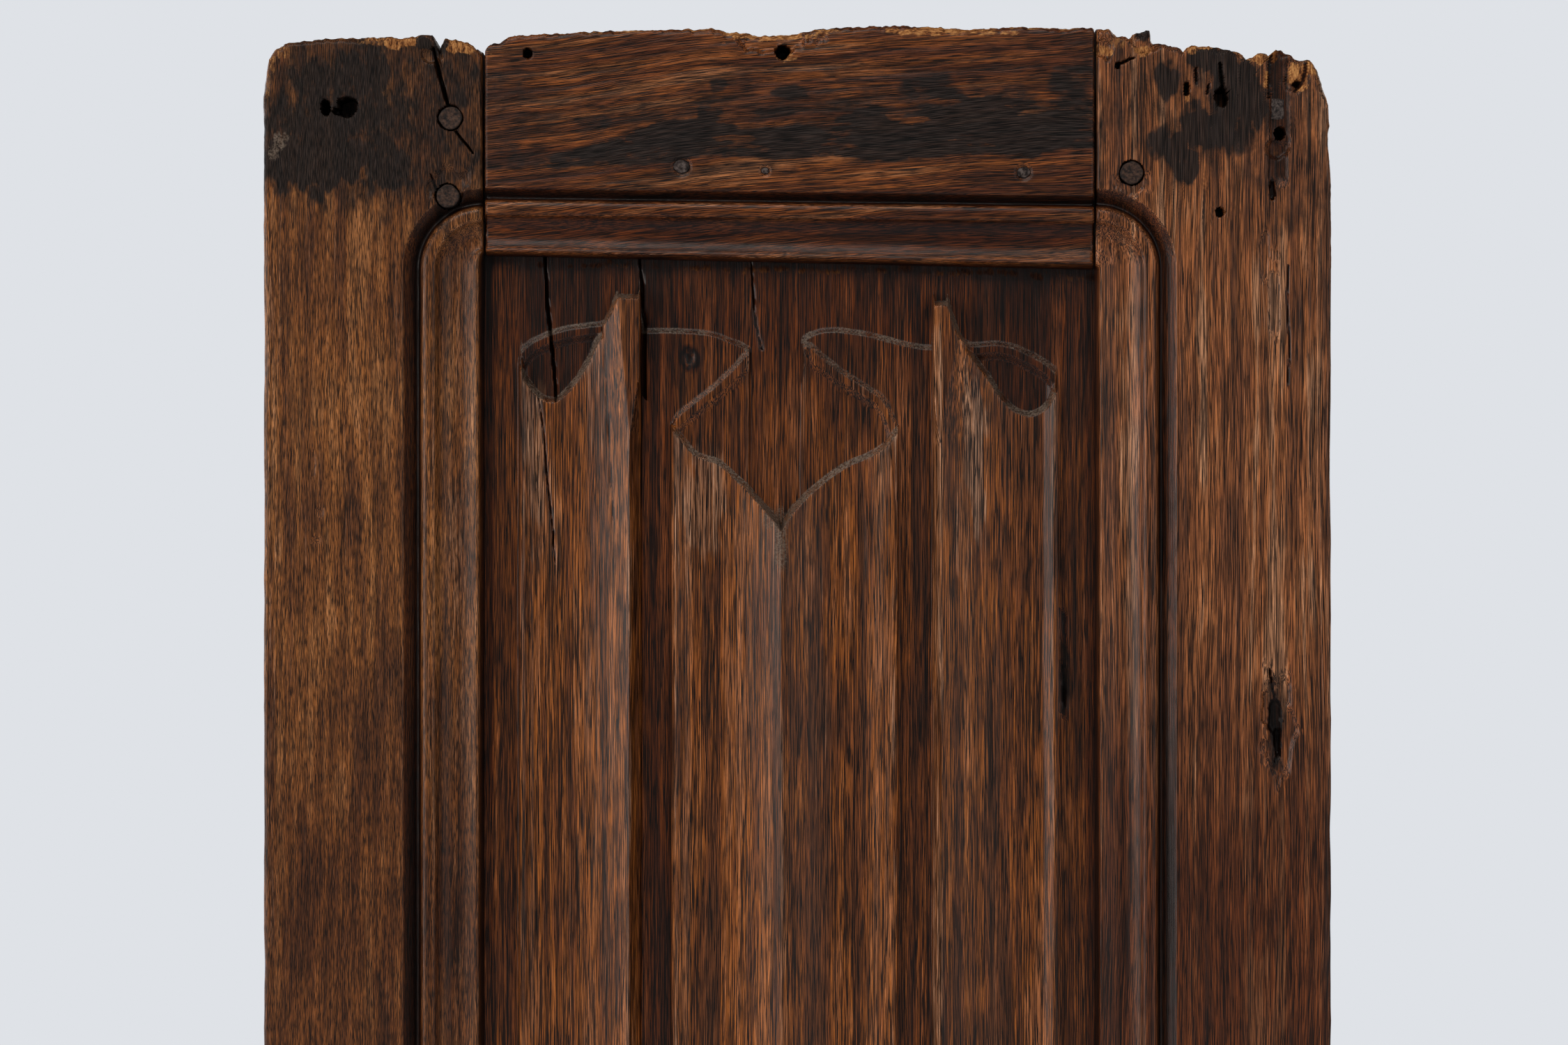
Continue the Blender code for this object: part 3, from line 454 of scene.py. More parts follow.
def polar_reach(angle, outline, edge, side):
    """How far a ray from the upper corner runs to the outline, read from the outline's own angles."""
    line = np.asarray(outline, float)
    count = 24
    t = np.arange((len(line) - 1) * count + 1) / count
    px = np.interp(t, np.arange(len(line)), line[:, 0])
    py = np.interp(t, np.arange(len(line)), line[:, 1])
    py = py + 1.4 * rough(px / 5, py / 5, 41) * (1 - ease(py, 150, 300))
    px = px + 0.8 * rough(py / 14, px / 5, 42) * ease(py, 60, 120)
    out, up = side * (across(px) - edge), level(py) - TOP_CORNER
    turned = np.maximum.accumulate(np.arctan2(out, up))
    keep = np.append(True, np.diff(turned) > 1e-5)
    return np.interp(np.pi / 2 - angle, turned[keep], np.hypot(out, up)[keep])


def stile_rays(width, edge, side, outline, levels):
    """Each ray's angle, its starting level and its length."""
    top = np.linspace(np.pi / 2, 0, TOP_RAYS, endpoint=False)
    foot = -np.linspace(0, np.pi / 2, FOOT_RAYS)[1:]
    angle = np.concatenate([top, np.zeros(len(levels)), foot])
    start = np.concatenate([np.full(len(top), TOP_CORNER), levels, np.full(len(foot), BOTTOM_CORNER)])
    wave = 0.4 * MM * rough(levels / (35 * MM), levels * 0, 51 + int(side))
    wave *= ease(TOP_CORNER - levels, 0, 40 * MM)
    height = BOTTOM_CORNER - BOTTOM_LINE
    square = np.minimum(width / np.cos(foot[:-1]), height / np.sin(-foot[:-1]))
    reach = np.concatenate([polar_reach(top, outline, edge, side), width - np.abs(wave), square, [height]])
    return angle, start, reach


def frame_rings(ring, joint, groove, shape):
    """The rings down a frame piece's wall, in or out at its joint and its groove, and on to the back."""
    front = np.where(joint, shape[0], GROOVE[0])
    back = np.where(joint, shape[1], GROOVE[1])
    step = np.where(joint, shape[2], np.where(groove, GROOVE[2], 0))
    slot = [ring(front), ring(front, step), ring(back, step), ring(back)]
    return [ring(y) for y in WALL_LEVELS] + slot + [ring(y) for y in BACK_LEVELS] + [ring(BACK)]


# %% [markdown]
# Each stile has its own history. The left one was handled and waxed, the right one stood in the weather and
# its grain is furrowed. Wear with painted highlights on the lit arrises, and grime with painted shade at the
# wall, in the quirk and on the bevel, are read from the moulding's profile by the distance out from the
# opening.

# %% Marks on a stile
WEAR_AND_HIGHLIGHT_OF_MOULDING = {-1: 0.72, 1: 0.4}  # by side, -1 the left and 1 the right
WEAR_OF_OUTER_EDGE = {-1: 0.35, 1: 0.5}
# How much darker each stile gets towards the bottom, by side.
DARKER_LOW_DOWN = {-1: 0.3, 1: 0.5}


def stile_marks(x, z, side, radius, left, broken, dark):
    """Stain, torn wood, dust, wear with painted highlights, and grime with painted shade, by the distance out
    and by what is left to the edge.
    """
    px, py = pixel_x(x), pixel_y(z)
    out, _, grime, worn = stile_profile.T
    torn = 0.5 * broken * (1 - ease(left, 0.3 * MM, 2 * MM)) * ease(rough(px / 20, py / 20, 64), -0.1, 0.5)
    # Painted highlights along with wear: the moulding's lit arrises and the strip in its hollow are painted
    # pale.
    moulding_wear_and_highlight = np.interp(radius, out * MM, worn) * WEAR_AND_HIGHLIGHT_OF_MOULDING[side]
    moulding_wear_and_highlight *= 0.7 + 0.5 * rough(px / 12, py / 60, 65)
    moulding_wear_and_highlight += WEAR_OF_OUTER_EDGE[side] * (1 - ease(left, 1 * MM, 9 * MM)) * (1 - broken)
    # Painted shade: the moulding's wall, quirk and bevel, the walls of holes and cracks, and the gap round each
    # peg are darkened. The stiles also get darker towards the bottom, and the left one near its top.
    dirt_and_shade = np.maximum(np.interp(radius, out * MM, grime), 1.6 * dark) + 0.8 * peg_pits(x, z, side, 0.8)
    dirt_and_shade += DARKER_LOW_DOWN[side] * ease(py, 850, 1300)
    dirt_and_shade += 0.12 * (1 - ease(py, 420, 620)) * (side < 0)
    return {"stain": spread(px, py, STAINS, 400), "dust": spread(px, py, PALE, 600, (5, 5)),
            "raw": np.clip(spread(px, py, RAW, 500, (9, 9)) + torn, 0, 1), "worn": moulding_wear_and_highlight, "grime": dirt_and_shade}


# %% The surface of a stile
CORNER_LIFT = {-1: (5.4, 5.6), 1: (0, 5.6)}  # mm that a corner's rays start beyond it, at the top and the foot


def stile(name, side, edge, outer, outline, knots, weathering):
    """One upright. Its front is a grid of rays and places along them, and rings carry its border back."""
    angle, start, reach = stile_rays(abs(outer - edge), edge, side, outline, level(knots))
    out, depth, _, _ = stile_profile.T
    flat = out[-1] * MM
    share = np.linspace(0, 1, FLAT_STEPS)[1:-1]
    radius = np.concatenate([
        np.tile(out * MM, (len(reach), 1)),
        flat + (reach[:, None] - EDGE_STEPS[0] - flat) * share,
        reach[:, None] - EDGE_STEPS], axis=1)
    x = edge + side * radius * np.cos(angle)[:, None]
    lift = np.where(angle > 0, *CORNER_LIFT[side]) * MM * np.sin(angle)
    z = start[:, None] + radius * np.sin(angle)[:, None] + lift[:, None] * (1 - ease(radius, 0, 9 * MM))
    px, py = pixel_x(x), pixel_y(z)
    broken = 1 - ease(py, 120, 250)
    left = reach[:, None] - radius

    lay = px + 3.5 * rough(px / 90, py / 380, 60)
    furrow = rough(lay / 7, py / 150, 62)
    relief = 0.16 * rough(px / 90, py / 500, 61) + weathering * furrow
    moulded = 1 - ease(radius, flat - 1 * MM, flat + 2 * MM)
    sunk = np.interp(radius, out * MM, depth) * MM + relief * MM * (1 - 0.6 * moulded)
    sunk += arris(left, (1.7 + 1.1 * broken * (1 + rough(px / 16, py / 16, 63))) * MM)
    joint_worn = (1.5 if side < 0 else 0.7) * MM * (start[:, None] > MIDDLE) + 0.4 * MM
    above = ease(np.abs(z - MIDDLE) - (TOP_CORNER - MIDDLE), 0, 9 * MM)
    sunk += arris(np.abs(x - edge), joint_worn, above) * (1 - ease(sunk, 3 * MM, 8 * MM))
    holes, dark = damage(px, py)
    sunk = np.maximum(sunk, 0) + holes + 4.5 * MM * peg_pits(x, z, side)
    front = np.stack([x, FACE + sunk, z], axis=2)
    marks = stile_marks(x, z, side, radius, left, broken, dark) | {"furrow": furrow, "lay": lay * PIXEL}

    points = border(front)
    inner = np.abs(points[:, 0] - edge) < 1e-6
    levels = np.abs(points[:, 2] - MIDDLE)
    low, high = (TENON_LEVELS[0] - MIDDLE, TENON_LEVELS[1] - MIDDLE)
    mortise = inner & (levels > low) & (levels < high)
    ray = border(np.stack([side * np.cos(angle), np.sin(angle)], 1)[:, None, :] + np.zeros((*x.shape, 1)))
    top = border(broken) * ~inner

    def ring(y, inset=0.0):
        """The border moved back to a level: into the joint or groove by inset, and ragged where it broke."""
        moved = points.copy()
        moved[:, 1] = np.maximum(y, points[:, 1])
        moved[:, 0] += side * inset
        place = points[:, 0] / (3 * MM) + points[:, 2] / (5 * MM)
        ragged = -np.abs(rough(place, moved[:, 1] / (4 * MM), 66))
        pull = top * ragged * 1.6 * MM * ease(moved[:, 1], FACE, FACE + 4 * MM)
        moved[:, [0, 2]] += ray * pull[:, None]
        return moved

    return closed_piece(name, front, frame_rings(ring, mortise, inner & (levels <= low), MORTISE), marks)


# %% [markdown]
# Level rays lie further apart down the shaft, where little changes, and closer at the deep split in the right
# stile.

# %% The two stiles
UPRIGHT = stations((386, 6), (1500, 15), MIDDLE_PIXEL * 2 - 386)
RIGHT_UPRIGHT = stations((386, 6), (955, 3.5), (1125, 7), (1500, 16), MIDDLE_PIXEL * 2 - 386)
left_stile = stile("left_stile_carved", -1, LEFT_EDGE, LEFT_SIDE, LEFT_TOP, UPRIGHT, 0.06)
right_stile = stile("right_stile_carved", 1, RIGHT_EDGE, RIGHT_SIDE, RIGHT_TOP, RIGHT_UPRIGHT, 0.17)

# %% [markdown]
# A rail is the same idea on straight lines. The upper one has dropped to the right, so every line of its
# moulding slants: its lower edge by 5.4 mm and the moulding's upper edge by about half of that. Its tenons
# are steps in the rings at its two ends.

# %% The surface of a rail
RAIL_DROP = [(5.6, 5.4), (7.1, 5.2), (20.4, 2.7), (26, 2.7), (31.3, 3.1), (60, 1.2), (92.5, 0)]
SHOULDER_GAP = 1.0 * MM
RAIL_EDGE_STEPS = np.array([2.6, 1.8, 1.2, 0.7, 0.35, 0.12, 0]) * MM
NAILS = {"left": (978, 239, 12), "middle": (1098, 245, 6), "right": (1469, 247, 10)}  # across, down, radius


def rail(name, end, weathering):
    """One rail: its front is a grid of lines along it, from the moulding's foot up to its outer edge."""
    out, depth, grime, worn = rail_profile.T
    x = np.linspace(LEFT_EDGE + SHOULDER_GAP, RIGHT_EDGE - SHOULDER_GAP, 372 if end > 0 else 150)
    top = np.interp(pixel_x(x), *np.array(RAIL_TOP, float).T)
    top = level(top + 1.2 * rough(pixel_x(x) / 6, x * 0, 81)) if end > 0 else np.full(x.shape, TOP_LINE)
    drop = np.interp(out, *np.array(RAIL_DROP).T) * MM * (end > 0)
    fall = (x - LEFT_EDGE) / (RIGHT_EDGE - LEFT_EDGE)
    lines = TOP_CORNER + out[:, None] * MM - drop[:, None] * fall
    margin = RAIL_EDGE_STEPS[:, None]
    share = np.linspace(0, 1, 82 if end > 0 else 34)[1:-1, None]
    z = np.concatenate([lines, lines[-1] + (top - margin[0] - lines[-1]) * share, top - margin])
    x = np.tile(x, (len(z), 1))
    count = len(z) - len(out)
    sunk = np.concatenate([depth, np.zeros(count)])[:, None] * MM + np.zeros(x.shape)
    grime = np.concatenate([grime, np.zeros(count)])[:, None] + np.zeros(x.shape)
    worn = np.concatenate([worn, np.zeros(count)])[:, None] + np.zeros(x.shape)
    px, py = pixel_x(x), pixel_y(z)
    lay = py + 8 * np.sin((px - 700) / 260) + 0.09 * px + 4 * rough(px / 200, py / 70, 80)
    furrow = rough(px / 130, lay / 9, 83)
    relief = 0.14 * rough(px / 400, py / 60, 82) + weathering * furrow
    moulded = 1 - ease(z - lines[-1], -1 * MM, 2 * MM)
    sunk += relief * MM * (1 - 0.6 * moulded)
    left = top - z
    broken = 1.0 if end > 0 else 0.0
    sunk += arris(left, (1.2 + 1.0 * broken * (1 + rough(px / 24, py / 24, 84))) * MM)
    ends = np.minimum(x - x[0, 0], x[0, -1] - x)
    sunk += arris(ends, 0.9 * MM) * (1 - ease(sunk, 3 * MM, 8 * MM))
    marks = {"worn": worn, "grime": grime, "furrow": furrow, "lay": lay * PIXEL}
    if end > 0:
        holes, dark = damage(px, py)
        nails = np.zeros(x.shape)
        for nx, ny, size in NAILS.values():
            nails = np.maximum(nails, 1 - ease(np.hypot(px - nx, py - ny), size, size + 3))
        sunk = np.maximum(sunk, 0) + holes + 0.8 * MM * nails
        marks |= {
            "stain": spread(px, lay - 0.06 * px, STAINS, 400, (40, 8)),
            "raw": np.clip(spread(px, py, RAW, 500, (12, 6)) + 0.6 * (1 - ease(left, 0.3 * MM, 1.6 * MM))
                           * ease(rough(px / 30, py / 30, 85), -0.2, 0.3), 0, 1),
            "worn": 0.6 * worn * (0.7 + 0.5 * rough(px / 60, py / 9, 86)),
            "grime": np.maximum(grime, 1.6 * dark),
        }
    if end < 0:
        z = 2 * MIDDLE - z
    front = np.stack([x, FACE + np.maximum(sunk, -0.1 * MM), z], axis=2)
    points = border(front)
    foot = border(np.arange(len(z))[:, None] + np.zeros(x.shape)) == 0
    sideways = np.where(border(ends) < 1e-7, np.sign(points[:, 0]), 0)
    levels = np.abs(points[:, 2] - MIDDLE)
    tenon = (sideways != 0) & (levels > TENON_LEVELS[0] - MIDDLE) & (levels < TENON_LEVELS[1] - MIDDLE)
    summit = border(left) < 1e-7

    def ring(y, step=0.0):
        """The border moved back to a level: out along the tenons and up into the groove by step."""
        moved = points.copy()
        moved[:, 1] = np.maximum(y, points[:, 1])
        moved[:, 0] += np.where(tenon, sideways, 0) * step
        moved[:, 2] += np.where(foot, end, 0) * step
        ragged = -np.abs(rough(points[:, 0] / (4 * MM), moved[:, 1] / (4 * MM), 87))
        moved[:, 2] += np.where(summit, broken * ragged * 1.5 * MM, 0)
        return moved

    return closed_piece(name, front, frame_rings(ring, tenon, foot, TENON), marks, (0, 0, -end))


# %% The two rails
top_rail = rail("top_rail_carved", 1, 0.16)
bottom_rail = rail("bottom_rail_carved", -1, 0.08)

# %% [markdown]
# The board is a relief in layers, cut back from a crest 9 mm high. Its lowest level is the ground. On it lies
# the back of the cloth, then the turned-over cloth beside the middle fold, and then the three standing folds.
# Each hem is a line across the board, so the grid's rows bend to follow the hems and lie close together
# there. A carver's steps stay crisp that way with few faces. The lower end repeats the upper one.

# %% Hem lines of the cloth
OUTER_HEM = flow([
    (640, 520), (736, 520), (741, 514), (748, 503), (760, 492), (775, 484), (790, 478), (812, 472), (840, 468),
    (862, 465.5), (867, 461), (874, 450), (880, 438), (884, 430), (887, 427), (900, 427), (917.4, 427)], 6)
OUTER_HEM_MIDDLE = flow([
    (918.4, 477), (925, 476.5), (960, 476), (1000, 478), (1025, 482), (1045, 490), (1060, 495), (1076, 503),
    (1095, 506), (1113, 504), (1135, 500), (1150, 492), (1155, 487), (1165, 481), (1180, 476), (1200, 475),
    (1225, 478), (1245, 481), (1260, 485), (1280, 490), (1300, 495), (1320, 499), (1339.4, 500)], 6)
OUTER_HEM_RIGHT = flow([
    (1340.4, 438), (1350, 437), (1360, 438), (1363, 446), (1366, 458), (1370, 467), (1375, 478), (1382, 489),
    (1392, 495), (1405, 496), (1430, 494), (1445, 496), (1460, 500), (1475, 507), (1490, 515), (1505, 525),
    (1516, 536), (1521, 545), (1530, 548), (1640, 548)], 6)
TURNED_HEM = flow([
    (640, 523), (742, 524), (760, 520), (790, 515), (830, 500), (866, 478), (885, 500), (918, 540), (945, 588),
    (962, 608), (966, 607), (972, 600), (980, 591), (990, 583), (1000, 575), (1010, 567), (1025, 555),
    (1040, 541), (1050, 532), (1060, 522), (1069, 512), (1077, 511), (1095, 545), (1122, 580), (1145, 530),
    (1151, 500), (1158, 496), (1165, 500), (1175, 510), (1190, 522), (1205, 534), (1220, 543), (1235, 552),
    (1250, 562), (1260, 568), (1268, 577), (1275, 588), (1281, 601), (1290, 606), (1312, 580), (1340, 540),
    (1360, 510), (1385, 498), (1400, 502), (1440, 515), (1480, 528), (1510, 545), (1525, 556), (1640, 556)], 6)
FOLD_HEM = flow([
    (640, 530), (738, 530), (743, 534), (750, 545), (757, 555), (765, 565), (775, 572.5), (786, 576),
    (797, 574.5), (810, 564), (820, 553), (829, 541), (838, 527), (846, 513), (852, 500), (858, 489),
    (865, 484), (874, 500), (885, 525), (905, 562), (930, 592), (950, 607), (962, 614), (970, 624), (980, 636),
    (993, 651), (1003, 657), (1015, 661), (1028, 665), (1042, 676), (1056, 689), (1068, 700), (1085, 719),
    (1105, 741), (1116, 754), (1122, 763), (1127, 755), (1140, 735), (1150, 724), (1165, 709), (1180, 696),
    (1200, 680), (1222, 667), (1245, 657), (1262, 648), (1272, 640), (1284, 626), (1296, 612), (1320, 590),
    (1345, 558), (1368, 525), (1386, 505), (1392, 509), (1402, 520), (1413, 535), (1422, 547), (1430, 560),
    (1440, 573), (1450, 584), (1460, 591), (1470, 595), (1480, 596.5), (1490, 594), (1500, 588), (1509, 578),
    (1516, 566), (1526, 562), (1640, 562)], 6)
outer_hem = np.vstack([OUTER_HEM, OUTER_HEM_MIDDLE, OUTER_HEM_RIGHT])
CLOTH_EDGE_LEFT, CLOTH_EDGE_RIGHT = 1076, 1151
LEFT_FOLD, LEFT_WALL = (746, 795, 902), 917.5
CENTRE_LEFT, CENTRE_RIGHT = (965, 1030, 1122), (1288, 1205, 1122)
RIGHT_FOLD, RIGHT_WALL = (1516, 1470, 1351), 1340
BACK_CLOTH, TURNED_CLOTH, HOLLOW_CLOTH, RIM, CREST = 1.2, 2.2, 2.6, 5.2, 9.0
LEDGE = 7.0
COLUMNS = stations(  # where each stretch of columns starts, and how far apart they are
    (662, 10), (692, 7), (735, 1.6), (753, 1.9), (800, 2.8), (878, 2.2), (900, 0.9), (905, 2.0), (916, 0.5),
    (919.5, 4),
    (958, 1.2), (970, 2.0), (1004, 2.8), (1070, 1.2), (1081, 3.0), (1117, 0.9), (1127, 3.0), (1146, 1.2),
    (1157, 2.8),
    (1281, 1.2), (1292, 4.2), (1337, 0.7), (1342, 1.6), (1356, 2.6), (1508, 1.4), (1522, 7), (1574, 10), 1604)
print("columns across the board:", len(COLUMNS))


# %% [markdown]
# A fold of the cloth is a hollow curve that rises to a crest, as a carver cuts it with a round plane. It
# starts at its hem with a short chamfer. Each layer's height is a formula across the board, and a hem line
# says where down the board it begins, so the layers need no cutting and leave no seams.

# %% Heights of the cloth
def hem(line, px):
    """A hem line's level at a place across the board."""
    return np.interp(px, line[:, 0], line[:, 1])


def slope(line, px):
    """How much longer a line is than its run across, at most three times."""
    rise = (hem(line, px + 1.5) - hem(line, px - 1.5)) / 3
    return np.clip(np.sqrt(1 + rise**2), 1, 3)


def past(line, px, py):
    """The distance below a hem line, square to it, in pixels."""
    return (py - hem(line, px)) / slope(line, px)


def fold_height(px, rim, lowest, crest, steep=2.0, turn=0.6):
    """It falls in a hollow curve from the crest, and lifts again to a thin rim."""
    u = np.clip((px - crest) / (rim - crest), 0, 1)
    bottom = (lowest - crest) / (rim - crest)
    inner = HOLLOW_CLOTH + (CREST - HOLLOW_CLOTH) * np.clip(1 - u / bottom, 0, 1) ** steep
    return inner + (RIM - HOLLOW_CLOTH) * ease((u - bottom) / (1 - bottom), turn, 1.0)


def ledge(below):
    """The carver's slope at a hem: it rises in a straight chamfer to the hem line, and turns over softly."""
    return 0.9 * np.clip((below + LEDGE) / LEDGE, 0, 1) + 0.1 * ease(below, -2.5, 2.0)


def cloth(px, py):
    """Height above the ground in mm, and how far below each hem a place lies. Rows run down from the top."""
    s_outer, s_turned, s_fold = (past(line, px, py) for line in (outer_hem, TURNED_HEM, FOLD_HEM))
    height = np.zeros(px.shape)
    on_outer = between(px, 742, 884) + between(px, 918, CLOTH_EDGE_LEFT) + between(px, CLOTH_EDGE_RIGHT, 1340)
    on_outer = np.clip(on_outer + between(px, 1385, 1518), 0, 1)
    height += BACK_CLOTH * on_outer * ledge(s_outer)
    inside = between(px, 748, 862, 8) + between(px, 1398, 1510, 8)
    height -= 2.0 * inside * ease(s_outer, 8, 22)
    turned = between(px, 966, CLOTH_EDGE_LEFT) + between(px, CLOTH_EDGE_RIGHT, 1287)
    height += (TURNED_CLOTH - BACK_CLOTH) * turned * ledge(s_turned)
    height -= 1.1 * turned * ease(s_turned, 8, 20)

    land_start = np.interp(py, [430, 490, 560, 625], [886, 892, 897, LEFT_FOLD[2]])
    land_end = np.interp(py, [540, 625], [LEFT_WALL, LEFT_FOLD[2]])
    left = fold_height(px, *LEFT_FOLD[:2], land_start, 2.7 - 0.6 * ease(py, 560, 800))
    left -= (CREST - HOLLOW_CLOTH) * np.clip((px - land_end) / np.maximum(LEFT_WALL - land_end, 0.5), 0, 1)
    land_end = np.interp(py, [440, 490, 520, 545, 600, 635], [1364, 1373, 1369, 1364, 1355, RIGHT_FOLD[2]])
    land_start = np.interp(py, [560, 600, 640], [RIGHT_WALL, 1344, RIGHT_FOLD[2]])
    right = fold_height(px, *RIGHT_FOLD[:2], land_end)
    run = np.maximum(land_start - RIGHT_WALL, 0.5)
    right -= (CREST - HOLLOW_CLOTH) * np.clip((land_start - px) / run, 0, 1)
    middle = np.where(px < 1122, fold_height(px, *CENTRE_LEFT, 1.8), fold_height(px, *CENTRE_RIGHT, 2.0, 0.3))

    in_left = between(px, 743.5, LEFT_WALL + 0.3, 0.9)
    in_right = between(px, RIGHT_WALL - 0.3, 1518.5, 0.9)
    in_middle = between(px, 963, 1290, 0.9)
    left_top = np.where(px < 862, s_fold, np.where(px < 866, np.maximum(s_outer, s_fold), s_outer))
    right_top = np.where(px > 1390, s_fold, np.where(px > 1386, np.maximum(s_outer, s_fold), s_outer))
    for fold, inside, below in ((left, in_left, left_top), (right, in_right, right_top),
                                (middle, in_middle, s_fold)):
        share = inside * ledge(below)
        height = np.where(share > 0, height * (1 - share) + fold * share, height)
    return height, s_outer, s_turned, s_fold, left_top, right_top


# %% [markdown]
# Three hems cross the board. Six rows lie close together at each of them, and open rows fill what is between.

# %% Rows that follow the hems
TOP_PIXEL = 335
SHAFT_PIXEL = 812
ABOVE_HEM = np.array([-1, -0.8, -0.5, -0.2])
BELOW_HEM = np.array([-0.1, 0.45])
OPEN_ROWS = (20, 16, 15, 28)


def hem_rows(px):
    """Rows down the upper end: evenly spaced in the open, and six close together across each hem's ledge."""
    lines = [hem(line, px) for line in (outer_hem, TURNED_HEM, FOLD_HEM)]
    lines = [np.full(px.shape, TOP_PIXEL)] + lines + [np.full(px.shape, SHAFT_PIXEL)]
    rows = []
    before = lines[0]
    for k, line in enumerate((outer_hem, TURNED_HEM, FOLD_HEM)):
        here = lines[k + 1]
        rise = np.minimum((LEDGE + 2) * slope(line, px), 0.45 * (here - lines[k]))
        run = np.minimum(2.4 * slope(line, px), 0.3 * (lines[k + 2] - here))
        start = here - rise
        rows += list(before + (start - before) * np.linspace(0, 1, OPEN_ROWS[k], endpoint=False)[:, None])
        rows += list(here + rise * ABOVE_HEM[:, None]) + list(here + run * BELOW_HEM[:, None])
        before = here + run
    rows += list(before + (lines[4] - before) * np.linspace(0, 1, OPEN_ROWS[3], endpoint=False)[:, None])
    return np.array(rows)


upper = hem_rows(COLUMNS)
shaft = stations((SHAFT_PIXEL, 15), 2 * MIDDLE_PIXEL - SHAFT_PIXEL)[:, None] + np.zeros(len(COLUMNS))
lower = 2 * MIDDLE_PIXEL - upper[::-1]
board_rows = np.vstack([upper, shaft, lower])
crossing = int((np.diff(board_rows, axis=0) <= 0).sum())
print("rows down the board:", len(board_rows), "of which crossing:", crossing)

# %% [markdown]
# Shrinkage split the board along its grain, and handling wore its crests pale; crests, rims and lips also get
# painted highlights. Dust lies on every ledge that faces up, and in a pale speckled line just under the rail.

# %% Cracks and dust on the board
BOARD_CRACKS = [
    (4.4, 3.2, [(779, 360), (781, 400), (783, 440), (788, 480), (793, 540), (795, 575)]),
    (2.8, 1.0, [(770, 565), (778, 620), (782, 680), (791, 760), (794, 810)]),
    (3.5, 2.4, [(916, 360), (920, 430), (924, 480), (924, 570)]),
    (2.6, 1.2, [(1077, 370), (1083, 460), (1093, 500)]),
    (1.2, 0.4, [(866, 500), (872, 600), (880, 760)]),
    (5.0, 1.6, [(1530, 880), (1532, 940), (1530, 1000), (1527, 1040)])]
PALE_WEAR = [
    (768, 660, 16, 120, 0.95), (790, 760, 14, 90, 0.5), (1010, 720, 30, 80, 0.85), (990, 800, 16, 90, 0.4),
    (1400, 640, 18, 130, 1.05), (1385, 760, 12, 90, 0.5), (850, 560, 20, 90, 0.4), (1270, 700, 10, 60, 0.5),
    (975, 690, 8, 60, 0.6), (1150, 830, 30, 60, 0.25)]


def dust_ledge(below):
    """1 just above a hem line, where dust lies on the ledge, and 0 further away."""
    return ease(below, -LEDGE - 2, -LEDGE) * (1 - ease(below, -0.3, 2.2))


def board_dust(column, row, px, py, hems):
    """Dust on the ledges, and in the foot of the middle fold's valley."""
    s_outer, s_turned, s_fold, left_top, right_top = hems
    over_ground = between(column, 742, 884, 3) + between(column, 918, CLOTH_EDGE_LEFT, 3)
    over_ground += between(column, CLOTH_EDGE_RIGHT, 1340, 3) + between(column, 1385, 1518, 3)
    in_turned = between(column, 966, CLOTH_EDGE_LEFT) + between(column, CLOTH_EDGE_RIGHT, 1287)
    dust = 0.7 * dust_ledge(s_outer) * over_ground + 0.6 * dust_ledge(s_turned) * in_turned
    dust = np.maximum(dust, dust_ledge(s_fold) * between(column, 964, 1289))
    dust = np.maximum(dust, dust_ledge(left_top) * between(column, 746, 917))
    dust = np.maximum(dust, dust_ledge(right_top) * between(column, 1341, 1516))
    dust = dust * (0.75 + 0.4 * rough(px / 14, py / 14, 98))
    valley = 0.8 * blob(column, row, 1121, 772, 9, 44, 102) + 0.6 * blob(column, row, 1104, 742, 9, 16, 103)
    return np.clip(np.maximum(dust, valley), 0, 1)


# %% Wear, painted highlights, grime and painted shade on the board
def board_wear_and_highlight(column, row, px, py, height, hems):
    """Crests, edges and lips of the hems that hands and dusters wore pale, also painted pale as highlights, and
    a painted sheen on the right fold's steep wall.
    """
    s_outer, _, s_fold, left_top, right_top = hems
    # Painted highlights along with wear: the fold crests and rims get pale lines.
    crests = sum(np.exp(-((column - c) / w) ** 2) for c, w in (
        (LEFT_FOLD[2], 5), (CENTRE_LEFT[0] + 4, 4), (1122, 5), (CENTRE_RIGHT[0] - 5, 5), (RIGHT_FOLD[2], 4),
        (LEFT_FOLD[0] + 3, 3), (RIGHT_FOLD[0] - 3, 3)))
    standing = ease(height, 2.6, 3.4)
    worn = crests * standing * (0.6 + 0.5 * rough(px / 20, py / 90, 99))
    worn += spread(px, py, PALE_WEAR, 700, (9, 40))
    edges = sum(np.exp(-((column - c) / 2.4) ** 2) for c in (CLOTH_EDGE_LEFT - 3, CLOTH_EDGE_RIGHT + 3))
    worn += 0.9 * edges * (s_outer > 6) * (s_fold < 0)
    # Painted sheen: the right fold's steep wall that faces left is painted pale.
    worn += 0.5 * between(column, RIGHT_WALL, RIGHT_FOLD[2], 1) * ease(row, 455, 480)
    lip = sum(between(below, 0.5, 4.0) * between(column, *span) for below, span in (
        (left_top, (746, 884)), (s_fold, (964, 1289)), (right_top, (1364, 1516)))) * standing
    return np.clip(worn + 0.4 * lip, 0, 1)


